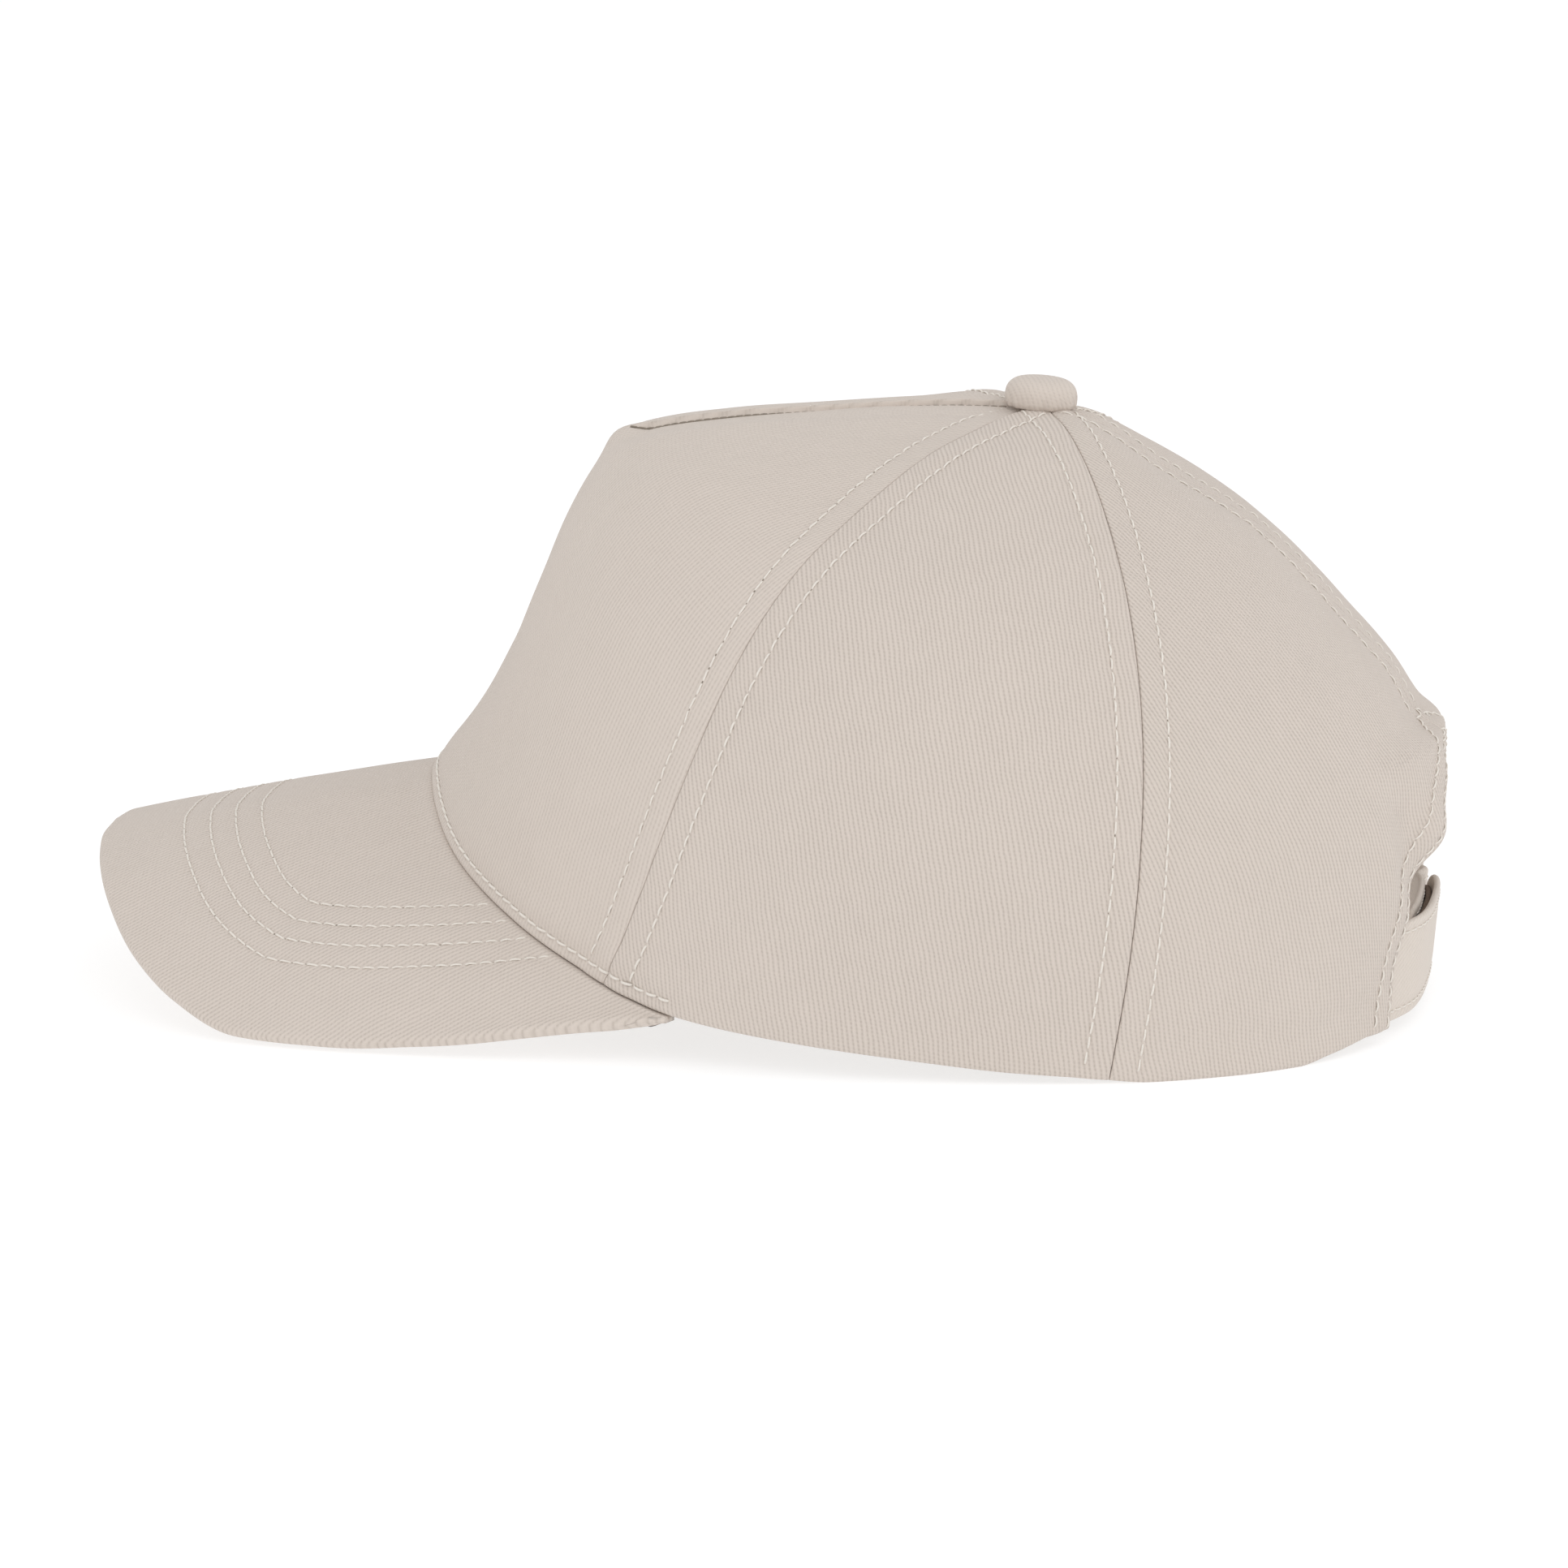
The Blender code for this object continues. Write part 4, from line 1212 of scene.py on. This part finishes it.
def build_tapes(material):
    """Tapes that cover the seams inside the crown."""
    offsets = np.linspace(-TAPE_WIDTH / 2, TAPE_WIDTH / 2, 13)
    for name in ("front_left", "front_right", "back_left", "back_right", "middle"):
        line = LINES[name]
        direction, share = line.direction[1::2], line.share[1::2]
        grid = []
        for offset in offsets:
            if name == "middle":
                span = np.linalg.norm(crown(direction, share) - crown(direction - 1, share), axis=-1)
                moved = 180 - np.abs(offset) / np.maximum(span, 1e-5)
                grid.append((np.where(offset < 0, moved, -moved), share))
            elif abs(offset) < 1e-9:
                grid.append((direction, share))
            else:
                grid.append(step_aside(direction, share, offset * np.sign(direction[0]), steps=3))
        layers = []
        for depth in TAPE_DEPTHS:
            layer = [inside(at, np.clip(up, 0, 1), CLOTH_THICKNESS + depth) for at, up in grid]
            layers.append(np.array(layer).transpose(1, 0, 2))
        if np.sign(direction[0]) < 0:
            layers = [layer[:, ::-1] for layer in layers]
        add_shell("seam_tape_" + name, layers[0], layers[1], material, "lining", grid_uv(layers[0]))


def on_apex(points):
    """Tilts the button's points and moves them from the origin to the apex."""
    points = np.array(points, float)
    cos, sin = math.cos(BUTTON_TILT), math.sin(BUTTON_TILT)
    x, y, z = points.T
    return np.stack([x * cos + z * sin, y, z * cos - x * sin], -1) + np.array([APEX_BACK, 0, CROWN_HEIGHT])


def build_button(material, metal):
    """The covered dome, and the post with its rivet under it."""
    reach = arc_lengths(DOME)
    reach /= reach[-1]
    at = np.linspace(0, 1, 40)[1:]
    turn = np.linspace(0, 2 * np.pi, 96, endpoint=False)
    pleats = np.sin(turn * 11 + 0.7) + 0.6 * np.sin(turn * 17 + 2.0)
    radius = curve(reach, DOME[:, 0], at) * BUTTON_DIAMETER / 2
    r = radius[:, None] + PLEAT_DEPTH * smooth((at - 0.62) / 0.38)[:, None] * pleats[None, :]
    z = (curve(reach, DOME[:, 1], at) * BUTTON_HEIGHT + BUTTON_LIFT)[:, None] + 0 * r
    dome = np.stack([r * np.cos(turn), r * np.sin(turn), z], -1).reshape(-1, 3)
    vertices = np.concatenate([[(0, 0, BUTTON_HEIGHT + BUTTON_LIFT)], dome, [(0, 0, BUTTON_LIFT)]])
    rings, sides = len(at), len(turn)
    last, final = 1 + (rings - 1) * sides, 1 + rings * sides
    faces = [(0, 1 + j, 1 + (j + 1) % sides) for j in range(sides)]
    faces += ring_faces(rings, sides, 1, True)
    faces += [(last + (j + 1) % sides, last + j, final) for j in range(sides)]
    uv = np.stack([vertices[:, 0], vertices[:, 1] * 0.75 + vertices[:, 2]], -1)
    add_piece("button_cloth", on_apex(vertices), faces, material, "twill", uv, ("button",))
    post, rivet, start = POST_DIAMETER / 2, RIVET_DIAMETER / 2, BUTTON_LIFT + 0.001
    end = BUTTON_LIFT - CLOTH_THICKNESS - RIVET_DROP
    outline = [(0, start), (post, start), (post, end + 0.0004), (post + 0.0004, end), (rivet - 0.0003, end),
               (rivet, end - 0.0003), (rivet - 0.0003, end - RIVET_THICKNESS),
               (0, end - RIVET_THICKNESS - 0.0001)]
    turn = np.linspace(0, 2 * np.pi, 48, endpoint=False)
    vertices = [(r * math.cos(angle), r * math.sin(angle), z) for r, z in outline for angle in turn]
    add_piece("button_rivet", on_apex(vertices), ring_faces(len(outline), 48, 0, True), metal, "closure")


def aim(made, heading, axis):
    """Turns an object so that its axis points along a direction."""
    made.rotation_mode = "QUATERNION"
    made.rotation_quaternion = Vector(heading).to_track_quat(axis, "Y")


def add_floor():
    mesh = bpy.data.meshes.new("floor")
    corners = [(-1, -1, 0), (1, -1, 0), (1, 1, 0), (-1, 1, 0)]
    mesh.from_pydata([tuple(FLOOR_HALF * c for c in corner) for corner in corners], [], [(0, 1, 2, 3)])
    material, _, shader = new_material("floor_paper", 0.8, 0.1)
    fill(shader, {"Base Color": (0.37, 0.37, 0.372, 1), "Emission Color": (1, 1, 1, 1),
                  "Emission Strength": 0.71})
    mesh.materials.append(material)
    floor = link("floor", mesh)


def add_lamp(name, location, size, power):
    light = bpy.data.lights.new(name, "AREA")
    light.shape = "DISK"
    light.size = size
    light.energy = power
    lamp = link(name, light)
    lamp.location = location
    aim(lamp, np.array(location) - np.array(LAMP_TARGET), "Z")


def add_world():
    world = bpy.data.worlds.new("studio")
    world.use_nodes = True
    fill(world.node_tree.nodes["Background"], {"Color": (1, 1, 1, 1), "Strength": 0.74})
    bpy.context.scene.world = world


def add_camera():
    flat = math.cos(CAMERA_ELEVATION)
    back = np.array([math.sin(CAMERA_AZIMUTH) * flat, -math.cos(CAMERA_AZIMUTH) * flat,
                     math.sin(CAMERA_ELEVATION)])
    camera = bpy.data.cameras.new("camera")
    camera.sensor_width = SENSOR_WIDTH
    camera.lens = SENSOR_WIDTH * FOCAL_PIXELS / FRAME_PIXELS
    camera.clip_start, camera.clip_end = 0.05, 50
    holder = link("camera", camera)
    holder.location = np.array(CAMERA_TARGET) + back * CAMERA_DISTANCE
    aim(holder, -back, "-Z")
    bpy.context.scene.camera = holder


def main():
    thread = thread_material()
    # Dark material of painted shade: the ovals at the needle holes and the cord in the dart's seam
    mark = plain_material("needle_shadow", (0.27, 0.23, 0.19), 0.95)
    peak = twill_material("twill_peak", CLOTH, 30.0, 0.75)
    strap = twill_material("twill_strap", STRAP_CLOTH, 30.0, 0.4)
    button = twill_material("twill_button", CLOTH, 113.0, 0.4)
    lining = twill_material("lining_twill", BAND, 60.0, 0.8, spacing=0.0007, contrast=0.10)
    closure = plain_material("closure_pile", (0.24, 0.18, 0.14), 0.95, 1800.0, 0.0006)
    metal = plain_material("rivet_enamel", (0.55, 0.50, 0.44), 0.45, 300.0, 0.00002)

    add_panel("front_panel", front_panel_surface(), 1, twill_material("twill_front", CLOTH, 100.0, 0.62))
    for name, side in (("left", 1), ("right", -1)):
        material = twill_material("twill_side_" + name, CLOTH, 112.0, 0.9)
        add_panel("side_panel_" + name, side_panel_surface(side), side, material)
    for name, side in (("left", 1), ("right", -1)):
        material = twill_material("twill_back_" + name, CLOTH, 104.0, 0.85)
        grid, uv = back_panel_surface(side)
        add_panel("back_panel_" + name, grid, side, material, uv)

    paths = [row_on_panel(name, panel) for panel, names in PANEL_ROWS.items() for name in names
             if name != "edge"]
    sew("crown", paths, 11, thread, mark)
    sew("edge", [row_on_panel("edge", "front_panel")], 12, thread, mark, THREAD_RADIUS * 1.25)
    # A thin dark cord along the dart, in the mark material, paints the shadow in the seam's gap
    fold = tuple(values[DART_SHADOW_SKIP:] for values in row_on_panel("dart_shadow_path", "front_panel"))
    line, _ = thread_rows([fold], 13, radius=0.00026, pitch=0.0016, space=-0.0004)
    add_piece("dart_seam_painted_shadow", *line, mark, "twill")

    build_peak(peak, thread, mark)
    build_strap(strap, thread, closure)
    build_band(lining, thread)
    build_tapes(lining)
    build_button(button, metal)

    add_floor()
    for lamp in LAMPS:
        add_lamp(*lamp)
    add_world()
    add_camera()
    bpy.context.scene.view_settings.view_transform = "Standard"


main()
